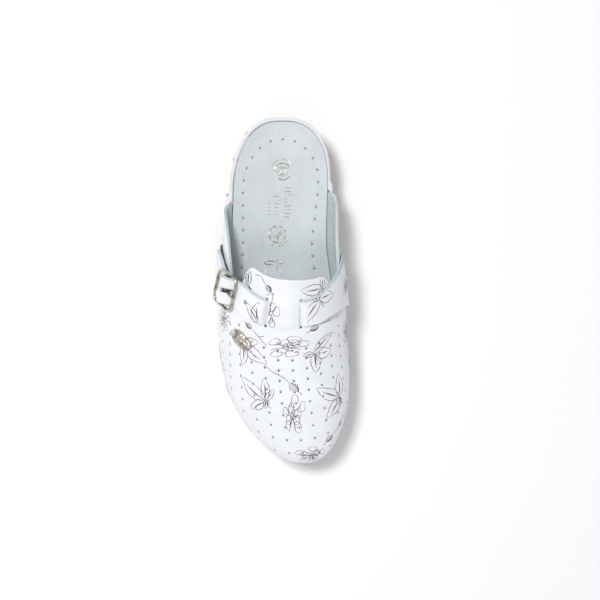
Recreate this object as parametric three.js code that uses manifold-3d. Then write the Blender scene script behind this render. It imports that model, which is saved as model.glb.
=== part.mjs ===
// Wooden clog for a right foot: a carved wooden sole on rubber treads, a cushioned footbed,
// a one-piece leather upper whose cut edge is trapped under a nailed welt, and an instep strap
// that runs under a bridge in the tongue to a centre-bar buckle on the outer side.
// Millimetres, +Z up, toe towards -Y, the wearer's inner side towards +X.
import * as THREE from 'three';
import { mergeVertices } from 'three/addons/utils/BufferGeometryUtils.js';
import Module from 'manifold-3d';

const wasm = await Module();
wasm.setup();

// ---------------------------------------------------------------- driving dimensions
const LENGTH = 255;            // heel to toe over everything
const BALL_HALF = 48;          // half width of the sole at the ball of the foot
const LEATHER = 2;             // upper and strap
const GAP = 0.3;               // clearance between pieces that lie on each other
const WELT = 2.2;              // thickness of the nailed edge band
const WELT_HEIGHT = 9;
const MARGIN = 10;             // upper below the rim, under the welt
const WALL = 8;                // flaring foot of the upper above the rim
const BULGE = 5;               // how far that wall flares out
const RISE = 49;               // crown above the wall at mid length
const RISE_SLOPE = 0.28;       // crown height gained for each millimetre towards the heel
const COVER = 1.2;             // leather insole
const PAD = 2.6;               // foam under it
const TREAD = 4.8;             // rubber treads
const STRAP_HALF = 9.6;
const TAPE = 1;                // elastic tape thickness
const TAPE_HALF = 9;
const WIRE = 1.1;              // buckle wire radius
const BAR = 1;                 // centre bar radius
const BUCKLE_REACH = 10.5;     // centre bar to either end bar
const BUCKLE_HALF = 13;        // half the buckle's width across the strap
const NAILS = 22;
const NAIL_RADIUS = 0.8;
const NAIL_LENGTH = 10;

const RADIAN_LENGTH = 60;      // millimetres of upper wall that one unit of q stands for
const CORNER = 0.8;            // roundness of the plan outline's ends
const LEATHER_IN = GAP;
const LEATHER_OUT = GAP + LEATHER;
const LIE = 0.55;              // clearance under ribbons that lie on the curved upper
const STRAP_MID = LEATHER_OUT + LIE + LEATHER / 2;
const TAPE_MID = LEATHER_OUT + LIE + TAPE / 2;
const HEEL_STACK = GAP + WELT + 0.6;
const HALF = (LENGTH - HEEL_STACK - LEATHER_OUT - BULGE) / 2;
const Y_SHIFT = (LEATHER_OUT + BULGE - HEEL_STACK) / 2;
const X_SHIFT = 3.2;           // centres the buckle and the inner bulge about x = 0
const FOOTBED = COVER + PAD + 2 * GAP;

// ---------------------------------------------------------------- smooth functions
// A smooth curve through [position, value] knots, flat beyond both ends.
function curve(knots) {
  const slopes = knots.map((knot, i) => {
    const before = knots[Math.max(i - 1, 0)];
    const after = knots[Math.min(i + 1, knots.length - 1)];
    return (after[1] - before[1]) / (after[0] - before[0]);
  });
  return (x) => {
    if (x <= knots[0][0]) return knots[0][1];
    if (x >= knots.at(-1)[0]) return knots.at(-1)[1];
    const i = knots.findIndex((knot) => knot[0] > x) - 1;
    const step = knots[i + 1][0] - knots[i][0];
    const f = (x - knots[i][0]) / step;
    const rise = knots[i][1] * (2 * f ** 3 - 3 * f ** 2 + 1) + knots[i + 1][1] * (3 * f ** 2 - 2 * f ** 3);
    return rise + step * (slopes[i] * (f ** 3 - 2 * f ** 2 + f) + slopes[i + 1] * (f ** 3 - f ** 2));
  };
}

const ease = (low, high, x) => THREE.MathUtils.smoothstep(x, low, high);
const mix = THREE.MathUtils.lerp;
const range = (count) => Array.from({ length: count + 1 }, (_, i) => i / count);
const power = (base, exponent) => Math.max(base, 0) ** exponent;

// ---------------------------------------------------------------- the last: plan, rim and dome
// Positions along the clog are t = cos(tau), from -1 at the toe to 1 at the heel.
const outerHalf = curve([
  [-1, 0.829], [-0.69, 0.971], [-0.24, 0.873], [0.23, 0.769], [0.49, 0.82], [0.7, 0.945], [1, 1.09],
]);
const innerHalf = curve([
  [-1, 0.858], [-0.69, 0.967], [-0.24, 0.863], [0.23, 0.744], [0.49, 0.8], [0.7, 0.914], [1, 1.109],
]);
const sway = curve([[-1, -1.2], [-0.3, -1.5], [0, -2.2], [0.25, -3.6], [0.5, -3.6], [0.8, -2.3], [1, -2.1]]);
const swing = (t) => sway(t) + 14 * power((-t - 0.16) / 0.84, 1.8);
const rim = curve([[-1, 35], [-0.73, 29.5], [-0.36, 27.5], [0, 32], [0.36, 39.5], [0.73, 45], [1, 47]]);
const breast = 0.4;
const toeSpring = (t) => 12 * power((-t - 0.5) / 0.5, 1.8);
const archRise = (t) => (t < breast ? 13 * ease(-0.08, 0.3, t) : 0);
const woodBottom = (t) => TREAD + GAP + toeSpring(t) + archRise(t) + 0.8 * ease(0.9, 1, t);
const crown = (t) => (RISE + RISE_SLOPE * t * HALF) * Math.sqrt(1 - power(-t, 6));

const tauAt = (y) => Math.acos(THREE.MathUtils.clamp((y - Y_SHIFT) / (HALF + LEATHER_OUT + BULGE), -1, 1));

// A point of the plan outline, d outside the wooden sole; side is -1 outer, 1 inner.
function spot(tau, side, d) {
  const t = Math.cos(tau);
  const half = BALL_HALF * (side < 0 ? outerHalf(t) : innerHalf(t)) + d;
  const width = power(Math.sin(tau), CORNER);
  return new THREE.Vector2(X_SHIFT + swing(t) + side * half * width, Y_SHIFT + (HALF + d) * t);
}

// Height of the footbed surface, u from -1 (outer edge) to 1 (inner edge).
function footHeight(tau, u) {
  const t = Math.cos(tau);
  const cup = mix(2.5, 6, ease(0.1, 0.8, t));
  const arch = 5 * ease(-0.35, 0.1, t) * (1 - ease(0.3, 0.6, t)) * ease(0.1, 0.9, u);
  const metatarsal = 2.2 * Math.exp(-(((t + 0.08) / 0.16) ** 2) - (u / 0.45) ** 2);
  const dish = (1 - u * u) * Math.sin(tau);
  return rim(t) - cup * dish + (arch * dish + metatarsal) * Math.sin(tau);
}

// A point of the upper, d outside the last. q is 0 where the dome starts on the outer side and
// PI where it ends on the inner side; beyond those it runs down the wall and margin.
function shell(tau, q, d) {
  const t = Math.cos(tau);
  const side = q > Math.PI / 2 ? 1 : -1;
  const climb = side > 0 ? Math.PI - q : q;
  if (climb < 0) {
    const v = WALL + climb * RADIAN_LENGTH;
    const flare = v > 0 ? BULGE * Math.sin((Math.PI / 2) * (v / WALL)) : 0;
    const edge = spot(tau, side, d + flare);
    return new THREE.Vector3(edge.x, edge.y, rim(t) + v);
  }
  const outer = spot(tau, -1, d + BULGE);
  const inner = spot(tau, 1, d + BULGE);
  const boxy = 1 - 0.2 * ease(0, 0.9, -t);
  const reach = side * power(Math.cos(climb), boxy);
  const up = power(Math.sin(climb), boxy);
  const lean = 3 * up * up * (crown(t) / RISE);
  return new THREE.Vector3(
    (outer.x + inner.x) / 2 + (reach * (inner.x - outer.x)) / 2 + lean,
    (outer.y + inner.y) / 2,
    rim(t) + WALL + (crown(t) + d) * up,
  );
}

const onShell = (q, y, d) => shell(tauAt(y), q, d);

// Tangents and outward normal of the upper at (q, y).
function tangents(q, y) {
  const step = 0.01;
  const alongQ = onShell(q + step, y, 0).sub(onShell(q - step, y, 0)).divideScalar(2 * step);
  const alongY = onShell(q, y + step, 0).sub(onShell(q, y - step, 0)).divideScalar(2 * step);
  const normal = alongQ.clone().cross(alongY).normalize();
  return { alongQ, alongY, normal };
}

// The change of (q, y) that moves one millimetre along a direction in the tangent plane.
function surfaceStep({ alongQ, alongY }, direction) {
  const e = alongQ.dot(alongQ);
  const f = alongQ.dot(alongY);
  const g = alongY.dot(alongY);
  const det = e * g - f * f;
  const a = direction.dot(alongQ);
  const b = direction.dot(alongY);
  return new THREE.Vector2((a * g - b * f) / det, (b * e - a * f) / det);
}

// ---------------------------------------------------------------- closed bodies
// Welds equal corners, drops triangles that have collapsed, and turns the faces outwards.
function weld(points, faces) {
  const index = new Map();
  const corners = [];
  const ids = points.map((p) => {
    const at = [p.x, p.y, p.z].map((value) => Math.round(value * 2000) / 2000 + 0);
    const key = at.join();
    if (!index.has(key)) {
      index.set(key, corners.length);
      corners.push(at);
    }
    return index.get(key);
  });
  let kept = faces.map((face) => face.map((i) => ids[i]));
  kept = kept.filter(([a, b, c]) => a !== b && b !== c && c !== a);
  const volume = kept.reduce((sum, [a, b, c]) => {
    const [p, q, r] = [a, b, c].map((i) => new THREE.Vector3(...corners[i]));
    return sum + p.dot(q.cross(r));
  }, 0);
  if (volume < 0) kept = kept.map(([a, b, c]) => [a, c, b]);
  const geometry = new THREE.BufferGeometry();
  geometry.setAttribute('position', new THREE.Float32BufferAttribute(corners.flat(), 3));
  geometry.setIndex(kept.flat());
  return geometry;
}

// A body between two grids of points; seam leaves the first row open because it closes on itself,
// and wrap joins the last column to the first.
function sheet(rows, cols, outer, inner, { seam = false, wrap = false } = {}) {
  const points = [];
  for (const surface of [outer, inner]) {
    for (let i = 0; i <= rows; i += 1) {
      for (let j = 0; j < cols + (wrap ? 0 : 1); j += 1) points.push(surface(i / rows, j / cols));
    }
  }
  const across = cols + (wrap ? 0 : 1);
  const base = (rows + 1) * across;
  const at = (i, j) => i * across + (j % across);
  const faces = [];
  const quad = (a, b, c, d) => faces.push([a, b, c], [a, c, d]);
  for (let i = 0; i < rows; i += 1) {
    for (let j = 0; j < cols; j += 1) {
      quad(at(i, j), at(i + 1, j), at(i + 1, j + 1), at(i, j + 1));
      quad(base + at(i, j), base + at(i, j + 1), base + at(i + 1, j + 1), base + at(i + 1, j));
    }
    if (!wrap) {
      quad(at(i, 0), base + at(i, 0), base + at(i + 1, 0), at(i + 1, 0));
      quad(at(i, cols), at(i + 1, cols), base + at(i + 1, cols), base + at(i, cols));
    }
  }
  for (let j = 0; j < cols; j += 1) {
    if (!seam) quad(at(0, j), at(0, j + 1), base + at(0, j + 1), base + at(0, j));
    quad(at(rows, j), base + at(rows, j), base + at(rows, j + 1), at(rows, j + 1));
  }
  return weld(points, faces);
}

// A body swept round a closed path: place(f, g) with both f and g going once round.
function hoop(steps, sides, place) {
  const points = [];
  const faces = [];
  for (let i = 0; i < steps; i += 1) {
    for (let j = 0; j < sides; j += 1) {
      points.push(place(i / steps, j / sides));
      const [a, b] = [i * sides + j, i * sides + ((j + 1) % sides)];
      const [c, d] = [((i + 1) % steps) * sides + ((j + 1) % sides), ((i + 1) % steps) * sides + j];
      faces.push([a, b, c], [a, c, d]);
    }
  }
  return weld(points, faces);
}

// A plate that follows the sole's plan from heelward to toeward stations.
function slab(stations, cols, insetTop, insetBase, top, base) {
  const place = (inset, height) => (f, g) => {
    const tau = stations[Math.round(f * (stations.length - 1))];
    const u = 2 * g - 1;
    const outer = spot(tau, -1, -inset);
    const inner = spot(tau, 1, -inset);
    return new THREE.Vector3(mix(outer.x, inner.x, g), mix(outer.y, inner.y, g), height(tau, u));
  };
  return sheet(stations.length - 1, cols, place(insetTop, top), place(insetBase, base));
}

function solid(geometry) {
  const bare = geometry.clone();
  bare.deleteAttribute('normal');
  bare.deleteAttribute('uv');
  const merged = mergeVertices(bare, 1e-4);
  return new wasm.Manifold(
    new wasm.Mesh({
      numProp: 3,
      vertProperties: new Float32Array(merged.attributes.position.array),
      triVerts: new Uint32Array(merged.index.array),
    }),
  );
}

function fromSolid(body) {
  const mesh = body.getMesh();
  const geometry = new THREE.BufferGeometry();
  geometry.setAttribute('position', new THREE.BufferAttribute(new Float32Array(mesh.vertProperties), 3));
  geometry.setIndex(Array.from(mesh.triVerts));
  return geometry;
}

const cut = (geometry, cutters) =>
  fromSolid(cutters.reduce((body, cutter) => body.subtract(solid(cutter)), solid(geometry)));
const join = (geometries) =>
  fromSolid(geometries.slice(1).reduce((body, other) => body.add(solid(other)), solid(geometries[0])));

// ---------------------------------------------------------------- materials
const look = (color, roughness, metalness = 0) =>
  new THREE.MeshStandardMaterial({ color, roughness, metalness });
const WOOD = look(0xc9a878, 0.6);
const RUBBER = look(0xd8d2c4, 0.8);
const FOAM = look(0xc8c0b0, 0.9);
const INSOLE = look(0xd9dcdd, 0.75);
const WHITE_LEATHER = look(0xf4f4f6, 0.4);
const ELASTIC = look(0x1c1c20, 0.9);
const NICKEL = look(0xa89a80, 0.35, 1);
const STEEL = look(0xb8b8b8, 0.35, 1);

const clog = new THREE.Group();
clog.name = 'wooden_clog';
function add(name, geometry, material) {
  const mesh = new THREE.Mesh(geometry, material);
  mesh.name = name;
  clog.add(mesh);
  return mesh;
}

// ---------------------------------------------------------------- stack under the welt
// Where the upper, the strap and the elastic tape reach down between the wood and the welt.
const WING_OUTER = 66;
const WING_INNER = 75;
const STRAP_FOOT = 8;
const STRAP_FOOT_HALF = 19.5;
const TAPE_FOOT = 26;
const BLEND = 7;

function covered(y, low, high) {
  return ease(low - BLEND, low - 0.5, y) * (1 - ease(high + 0.5, high + BLEND, y));
}

function stackUnderWelt(tau, side) {
  const y = Y_SHIFT + (HALF + LEATHER_OUT) * Math.cos(tau);
  const wing = side < 0 ? WING_OUTER : WING_INNER;
  const upper = covered(y, -2 * HALF, wing) * (LEATHER + GAP);
  const extra =
    side > 0
      ? covered(y, STRAP_FOOT - STRAP_FOOT_HALF - 7, STRAP_FOOT + STRAP_FOOT_HALF) * (LEATHER + LIE)
      : covered(y, TAPE_FOOT - TAPE_HALF - 4, TAPE_FOOT + TAPE_HALF + 2) * (TAPE + LIE);
  return GAP + upper + extra;
}

function weltThickness(tau) {
  return WELT + 0.6 * ease(0.55, 0.75, Math.cos(tau));
}

const sideOf = (phi) => (phi < Math.PI ? 1 : -1);
const tauOf = (phi) => (phi < Math.PI ? phi : 2 * Math.PI - phi);

// ---------------------------------------------------------------- nails
// A nail along -Y of its own frame, its head's underside GAP above y = 0.
function nailShape(radius, length, head, sides) {
  const profile = [
    [0, -length], [radius, 1.5 - length], [radius, GAP], [head, GAP], [0, GAP + 0.9],
  ];
  return new THREE.LatheGeometry(profile.map(([x, y]) => new THREE.Vector2(x, y)), sides);
}

function boreShape(radius, length) {
  return new THREE.CylinderGeometry(radius, radius, length, 6).translate(0, -length / 2 + 2, 0);
}

function aim(geometry, at, direction) {
  const turn = new THREE.Quaternion().setFromUnitVectors(new THREE.Vector3(0, 1, 0), direction);
  return geometry.clone().applyQuaternion(turn).translate(at.x, at.y, at.z);
}

const weltNails = range(NAILS - 1).map((_, i) => {
  const phi = ((i + 0.5) / NAILS) * 2 * Math.PI;
  const [tau, side] = [tauOf(phi), sideOf(phi)];
  const thickest = Math.max(...[-0.04, 0, 0.04].map((step) => stackUnderWelt(tau + step, side)));
  const d = thickest + weltThickness(tau);
  const at = spot(tau, side, d);
  const along = spot(tau + 0.01, side, d).sub(spot(tau - 0.01, side, d));
  const outward = new THREE.Vector3(along.y, -along.x, 0).multiplyScalar(-side).normalize();
  return { at: new THREE.Vector3(at.x, at.y, rim(Math.cos(tau)) - WELT_HEIGHT * 0.8), outward };
});
const weltBores = weltNails.map(({ at, outward }) =>
  aim(boreShape(NAIL_RADIUS + GAP, NAIL_LENGTH + 3), at, outward));


// ---------------------------------------------------------------- sole
// Stations from the heel (tau 0) to the toe (tau PI) between two values of t.
function stations(count, from = 1, to = -1) {
  const [first, last] = [Math.acos(from), Math.acos(to)];
  return range(count).map((f) => mix(first, last, f));
}

const woodTop = (tau, u) => footHeight(tau, u) - FOOTBED;
const SOLE_SIDE = 2.5;         // the sole's side draws in towards the tread
const treadTop = (tau) => woodBottom(Math.cos(tau)) - GAP;
const treadBase = (tau) => treadTop(tau) - TREAD;
const BREAST_STEP = 0.025;

const heelStations = stations(12, 1, breast + BREAST_STEP);
const foreStations = [...stations(6, breast - BREAST_STEP, -0.02), ...stations(15, -0.02, -1).slice(1)];
const woodStations = [...heelStations, ...foreStations];
const wood = slab(woodStations, 8, 0, SOLE_SIDE, woodTop, (tau) => woodBottom(Math.cos(tau)));

const heelTread = slab(heelStations.slice(0, -1), 4, SOLE_SIDE, SOLE_SIDE + 1, treadTop, treadBase);
const foreTread = slab(foreStations.slice(6), 4, SOLE_SIDE, SOLE_SIDE + 1, treadTop, treadBase);

const GROOVE_DEPTH = 1.5;
const GROOVE_WIDTH = 3;
const groove = (y) => new THREE.BoxGeometry(120, GROOVE_WIDTH, 2 * GROOVE_DEPTH).translate(0, y, 0);
const grooves = (count, from, to) => range(count - 1).map((f) => groove(mix(from, to, f)));
const heelGrooves = grooves(4, 0.5 * HALF, 0.82 * HALF);
const foreGrooves = grooves(6, -0.12 * HALF, -0.56 * HALF);

const treadNailSpots = [
  [-22, 0.86], [22, 0.86], [-22, 0.55], [22, 0.55], [-26, -0.22], [26, -0.22], [-30, -0.5], [32, -0.5],
];
const TREAD_NAIL_LENGTH = 12;
const TREAD_SINK = 2.6;        // depth of the heads inside the rubber
const treadNails = treadNailSpots.map(([x, t]) => ({
  at: new THREE.Vector3(x, t * HALF, TREAD_SINK + GAP),
  outward: new THREE.Vector3(0, 0, -1),
}));
const treadBores = treadNails.map(({ at, outward }) =>
  aim(boreShape(NAIL_RADIUS + GAP, TREAD_NAIL_LENGTH + 3), at, outward));
const treadSinks = treadNails.map(({ at }) =>
  new THREE.CylinderGeometry(2.8, 2.8, 8, 10).rotateX(Math.PI / 2).translate(at.x, at.y, at.z - 4));

add('wooden_sole', cut(wood, [...weltBores, ...treadBores]), WOOD);
add('heel_tread', cut(heelTread, [...heelGrooves, ...treadBores.slice(0, 4), ...treadSinks.slice(0, 4)]), RUBBER);
add('forepart_tread', cut(foreTread, [...foreGrooves, ...treadBores.slice(4), ...treadSinks.slice(4)]), RUBBER);

// ---------------------------------------------------------------- footbed
const bedStations = stations(28);
const bedLayer = (inset, top, thickness) =>
  slab(bedStations, 8, inset, inset, (tau, u) => footHeight(tau, u) - top, (tau, u) =>
    footHeight(tau, u) - top - thickness);
add('footbed_pad', bedLayer(0.4, COVER + GAP, PAD), FOAM);
add('insole_cover', bedLayer(0.4, 0, COVER), INSOLE);

// ---------------------------------------------------------------- upper
const Q_MARGIN = (MARGIN + WALL) / RADIAN_LENGTH;
const Q_RIM = WALL / RADIAN_LENGTH;
// The upper's rear edge: wings along both sides, a notch on each side of the instep and the tongue.
const rearEdge = curve([
  [-Q_MARGIN, WING_OUTER], [-Q_RIM, WING_OUTER - 2], [0, 59], [0.2, 47], [0.38, 28], [0.52, 6], [0.62, -3],
  [0.7, -2], [0.76, 4], [0.81, 10.5], [0.87, 14.5], [0.93, 15.6], [1, 14.4], [1.1, 11.4], [1.2, 9.2], [1.35, 7.5],
  [1.65, 6.6], [1.9, 7.6], [2.05, 9], [2.15, 8.6], [2.25, 5.5], [2.36, 0], [2.46, -3], [2.58, 4], [2.76, 30],
  [2.95, 53], [Math.PI, 67], [Math.PI + Q_RIM, WING_INNER - 1], [Math.PI + Q_MARGIN, WING_INNER],
]);
const wallColumns = [0, 0.56, 0.75, 1].map((f) => -Q_MARGIN * (1 - f));
const domeColumns = range(13).slice(1).map((f) => f * Math.PI / 2);
const outerColumns = [...wallColumns, ...domeColumns];
const upperColumns = [...outerColumns, ...outerColumns.slice(0, -1).reverse().map((q) => Math.PI - q)];

function upperLayer(d) {
  return (f, g) => {
    const q = upperColumns[Math.round(g * (upperColumns.length - 1))];
    return shell(mix(Math.PI, tauAt(rearEdge(q)), f), q, d);
  };
}
const upper = sheet(24, upperColumns.length - 1, upperLayer(LEATHER_OUT), upperLayer(LEATHER_IN), { seam: true });

// ---------------------------------------------------------------- ribbons that lie on the upper
// path gives y(q), half(q) and d(q); the ribbon is square to its own direction everywhere.
function ribbon(qs, cols, { y, half, d }, thickness, grow = 0) {
  const rows = qs.map((q) => {
    const local = tangents(q, y(q));
    const slope = (y(q + 0.005) - y(q - 0.005)) / 0.01;
    const ahead = local.alongQ.clone().addScaledVector(local.alongY, slope).normalize();
    const onWall = q < 1e-9 || q > Math.PI - 1e-9;
    const level = new THREE.Vector2(0, -1 / local.alongY.length());
    return { q, step: onWall ? level : surfaceStep(local, ahead.cross(local.normal)) };
  });
  const surface = (sign) => (f, g) => {
    const { q, step } = rows[Math.round(f * (rows.length - 1))];
    const reach = (half(q) + grow) * (2 * g - 1);
    return onShell(q + step.x * reach, y(q) + step.y * reach, d(q) + sign * (thickness / 2 + grow));
  };
  return sheet(rows.length - 1, cols, surface(1), surface(-1));
}

const SLIT_OUTER = 1.19;
const SLIT_INNER = 1.7;
const SLIT_RUN = 0.06;
const BUCKLE_Q = 0.52;
const BAR_LIFT = 6.8;
const LOOP_IN = BAR + 0.35;
const LOOP_OUT = LOOP_IN + 0.8;
const STRAP_END = 0.05;
const TIP_ROUND = 0.16;
const strapFoot = curve([[2.1, STRAP_HALF], [2.6, 15], [3, 18.8], [Math.PI + Q_MARGIN, STRAP_FOOT_HALF]]);
const strapPath = {
  y: curve([
    [0.04, 27], [0.22, 14.5], [0.4, 4.4], [BUCKLE_Q, 1], [0.74, -4], [0.95, -11], [SLIT_OUTER, -16], [1.45, -17.5],
    [SLIT_INNER, -17], [2, -13.5], [2.4, -3], [2.8, 5.5], [Math.PI, STRAP_FOOT], [Math.PI + Q_MARGIN, STRAP_FOOT],
  ]),
  half: (q) => strapFoot(q) * Math.sqrt(1 - 0.85 * power((STRAP_END + TIP_ROUND - q) / TIP_ROUND, 2)),
  d: (q) => {
    const under = ease(SLIT_OUTER - SLIT_RUN, SLIT_OUTER + SLIT_RUN, q)
      * (1 - ease(SLIT_INNER - SLIT_RUN, SLIT_INNER + SLIT_RUN, q));
    const overBar = 1 - ease(0.015, 0.15, Math.abs(q - BUCKLE_Q));
    const tail = (1 - ease(BUCKLE_Q - 0.16, BUCKLE_Q - 0.05, q)) * (TAPE + LIE);
    const top = BAR_LIFT + LOOP_OUT + 3 * GAP + LEATHER / 2;
    return mix(mix(STRAP_MID + tail, top, overBar), LEATHER_IN - GAP - LEATHER / 2, under);
  },
};
const strapStops = [
  ...wallColumns.map((q) => Math.PI - q), ...range(11).slice(1).map((f) => mix(Math.PI, 1.85, f)),
  ...range(4).map((f) => mix(1.77, 1.63, f)), 1.5, 1.38, ...range(4).map((f) => mix(1.26, 1.12, f)), 1, 0.88, 0.78,
  ...range(9).map((f) => mix(0.69, 0.36, f)), 0.28, 0.2, 0.14, 0.09, STRAP_END,
];
const strap = ribbon(strapStops, 4, strapPath, LEATHER);
const strapRoom = ribbon(strapStops.filter((q) => q < 2 && q > 0.9), 4, strapPath, LEATHER, GAP);

const tapePath = {
  y: curve([[-Q_MARGIN, TAPE_FOOT], [0, 23.5], [0.2, 15], [0.4, 5.2], [0.5, 2.3], [BUCKLE_Q, 1], [0.7, -3]]),
  half: () => TAPE_HALF,
  d: (q) => mix(TAPE_MID, BAR_LIFT - (LOOP_IN + LOOP_OUT) / 2, ease(BUCKLE_Q - 0.1, BUCKLE_Q, q)),
};
const tapeStops = [...wallColumns, ...range(9).slice(1).map((f) => f * (BUCKLE_Q + 0.03))];

// ---------------------------------------------------------------- buckle
// The buckle's frame: +X along the strap towards its tip, +Y out of the upper, +Z along the bars.
function placeOnStrap(q) {
  const local = tangents(q, strapPath.y(q));
  const slope = (strapPath.y(q + 0.01) - strapPath.y(q - 0.01)) / 0.02;
  const ahead = local.alongQ.clone().addScaledVector(local.alongY, slope).normalize().negate();
  const bar = ahead.clone().cross(local.normal).normalize();
  const origin = onShell(q, strapPath.y(q), 0);
  return new THREE.Matrix4().makeBasis(ahead, local.normal, bar).setPosition(origin);
}
const buckleFrame = placeOnStrap(BUCKLE_Q);
const inBuckle = (geometry) => geometry.applyMatrix4(buckleFrame);

const SAG = 1.1;               // how far the upper falls away from its tangent plane at either end bar
const ROCK_ROOM = 1.7;
const innerBarLift = STRAP_MID + LEATHER / 2 - SAG + ROCK_ROOM + WIRE;
const outerBarLift = innerBarLift + TAPE + LIE;
const plane = (x) => mix(innerBarLift, outerBarLift, (x + BUCKLE_REACH) / (2 * BUCKLE_REACH));

// A rounded rectangle of wire in the plane of the bars.
function buckleWire(f, g) {
  const corner = 5;
  const angle = 2 * Math.PI * f;
  const squared = (value) => Math.sign(value) * Math.abs(value) ** (2 / corner);
  const middle = (a) => new THREE.Vector2(
    BUCKLE_REACH * squared(Math.cos(a)), (BUCKLE_HALF) * squared(Math.sin(a)));
  const at = middle(angle);
  const along = middle(angle + 0.02).sub(middle(angle - 0.02)).normalize();
  const turn = 2 * Math.PI * g;
  const out = Math.cos(turn) * WIRE;
  const x = at.x + along.y * out;
  return new THREE.Vector3(x, plane(x) + Math.sin(turn) * WIRE, at.y - along.x * out);
}
const centreBar = new THREE.CylinderGeometry(BAR, BAR, 2 * BUCKLE_HALF, 16)
  .rotateX(Math.PI / 2).translate(0, BAR_LIFT, 0);
add('buckle_frame', inBuckle(join([hoop(40, 8, buckleWire), centreBar])), NICKEL);

function barRing(inner, outer, width, sides) {
  const profile = [[inner, -width / 2], [outer, -width / 2], [outer, width / 2], [inner, width / 2], [inner, -width / 2]];
  const ring = new THREE.LatheGeometry(profile.map(([x, y]) => new THREE.Vector2(x, y)), sides);
  return ring.rotateX(Math.PI / 2).translate(0, BAR_LIFT, 0);
}

const PRONG = 0.9;
const PRONG_SWING = 30;
const ROCK = 3.5;
function prongArm(radius) {
  const tip = new THREE.Vector3(-BUCKLE_REACH - 2.2, plane(-BUCKLE_REACH) + WIRE + GAP + PRONG - 0.2, 0);
  const bend = new THREE.Vector3(-BUCKLE_REACH, plane(-BUCKLE_REACH) + WIRE + GAP + PRONG + 0.15, 0);
  const root = new THREE.Vector3(-1.6, BAR_LIFT + 0.3, 0);
  const knee = new THREE.Vector3(-6, (root.y + bend.y) / 2 + 0.5, 0);
  const section = new THREE.Shape().absarc(0, 0, radius, 0, 2 * Math.PI);
  const path = new THREE.CatmullRomCurve3([root, knee, bend, tip]);
  return new THREE.ExtrudeGeometry(section, { steps: 9, curveSegments: 4, extrudePath: path });
}
const prong = join([barRing(BAR + 0.1, BAR + 1, 2.2, 20), prongArm(PRONG)]);
add('buckle_prong', inBuckle(prong), NICKEL);

// The prong's slot in the strap is the room its arm needs at every angle it swings through.
function turned(geometry, degrees) {
  return geometry.translate(0, -BAR_LIFT, 0).rotateZ(THREE.MathUtils.degToRad(-degrees)).translate(0, BAR_LIFT, 0);
}
const swingAngles = range(6).map((f) => mix(-ROCK - 1, PRONG_SWING + ROCK + 1, f));
const prongRoom = swingAngles.map((angle) => inBuckle(turned(prongArm(PRONG + 0.45), angle)));

const punch = (q) => new THREE.CylinderGeometry(1.6, 1.6, 16, 12).translate(0, 5, 0).applyMatrix4(placeOnStrap(q));
const spareHoles = [0.88, 0.27].map(punch);
add('instep_strap', cut(strap, [...prongRoom, ...spareHoles, ...weltBores]), WHITE_LEATHER);

const tapeSlot = new THREE.BoxGeometry(12, 14, 5).translate(-2, BAR_LIFT, 0);
const tapeLoop = barRing(LOOP_IN, LOOP_OUT, 2 * TAPE_HALF - 1, 20);
const barRoom = new THREE.CylinderGeometry(LOOP_IN, LOOP_IN, 30, 20).rotateX(Math.PI / 2).translate(0, BAR_LIFT, 0);
const tape = cut(ribbon(tapeStops, 4, tapePath, TAPE), [inBuckle(barRoom.clone())]);
const tapeBody = cut(join([tape, inBuckle(tapeLoop)]), [inBuckle(tapeSlot), ...weltBores]);
add('elastic_tape', tapeBody, ELASTIC);

// ---------------------------------------------------------------- badge on the outer side
const BADGE_Q = 0.785;
const BADGE_Y = -35.4;
const BADGE_LONG = 9.6;
const BADGE_SHORT = 5.2;
const BADGE_TURN = -0.75;
const badgeTangents = tangents(BADGE_Q, BADGE_Y);
const badgeAcross = badgeTangents.alongQ.clone().normalize();
const badgeUp = badgeTangents.normal.clone().cross(badgeAcross);

// A point of an oval plate on the upper; f from its centre to its edge, g once round.
function oval(long, short, d, dome) {
  return (f, g) => {
    const angle = 2 * Math.PI * g;
    const [a, b] = [f * long * Math.cos(angle), f * short * Math.sin(angle)];
    const direction = badgeAcross.clone().multiplyScalar(a * Math.cos(BADGE_TURN) - b * Math.sin(BADGE_TURN))
      .addScaledVector(badgeUp, a * Math.sin(BADGE_TURN) + b * Math.cos(BADGE_TURN));
    const step = surfaceStep(badgeTangents, direction);
    return onShell(BADGE_Q + step.x, BADGE_Y + step.y, d + dome * (1 - f * f));
  };
}
const badgePost = (radius, side) => {
  const at = oval(BADGE_LONG, BADGE_SHORT, 0, 0)(0.5, side > 0 ? 0 : 0.5);
  return aim(new THREE.CylinderGeometry(radius, radius, 4.4, 8).translate(0, 1, 0), at, badgeTangents.normal);
};
const badgeBase = LEATHER_OUT + GAP;
const plate = (long, short, base, thickness, dome) =>
  sheet(4, 24, oval(long, short, base + thickness, dome), oval(long, short, base, 0), { seam: true, wrap: true });
const badge = join([plate(BADGE_LONG, BADGE_SHORT, badgeBase, 0.9, 1.2), badgePost(0.7, -1), badgePost(0.7, 1)]);
const postRoom = [-1, 1].map((side) => badgePost(1, side));
add('oval_badge', badge, NICKEL);
add('badge_backplate', cut(plate(BADGE_LONG - 2, BADGE_SHORT - 1.5, -1, 0.9, 0), postRoom), STEEL);

add('upper', cut(upper, [strapRoom, ...postRoom, ...weltBores]), WHITE_LEATHER);

// ---------------------------------------------------------------- welt
function weltPoint(f, g) {
  const phi = 2 * Math.PI * f;
  const [tau, side] = [tauOf(phi), sideOf(phi)];
  const corner = [[0, 0], [1, 0], [1, 1], [0, 1]][Math.round(g * 4)];
  const d = stackUnderWelt(tau, side) + corner[0] * weltThickness(tau);
  const at = spot(tau, side, d);
  return new THREE.Vector3(at.x, at.y, rim(Math.cos(tau)) - 0.5 - corner[1] * WELT_HEIGHT);
}
add('welt', cut(hoop(92, 4, weltPoint), weltBores), WHITE_LEATHER);

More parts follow.
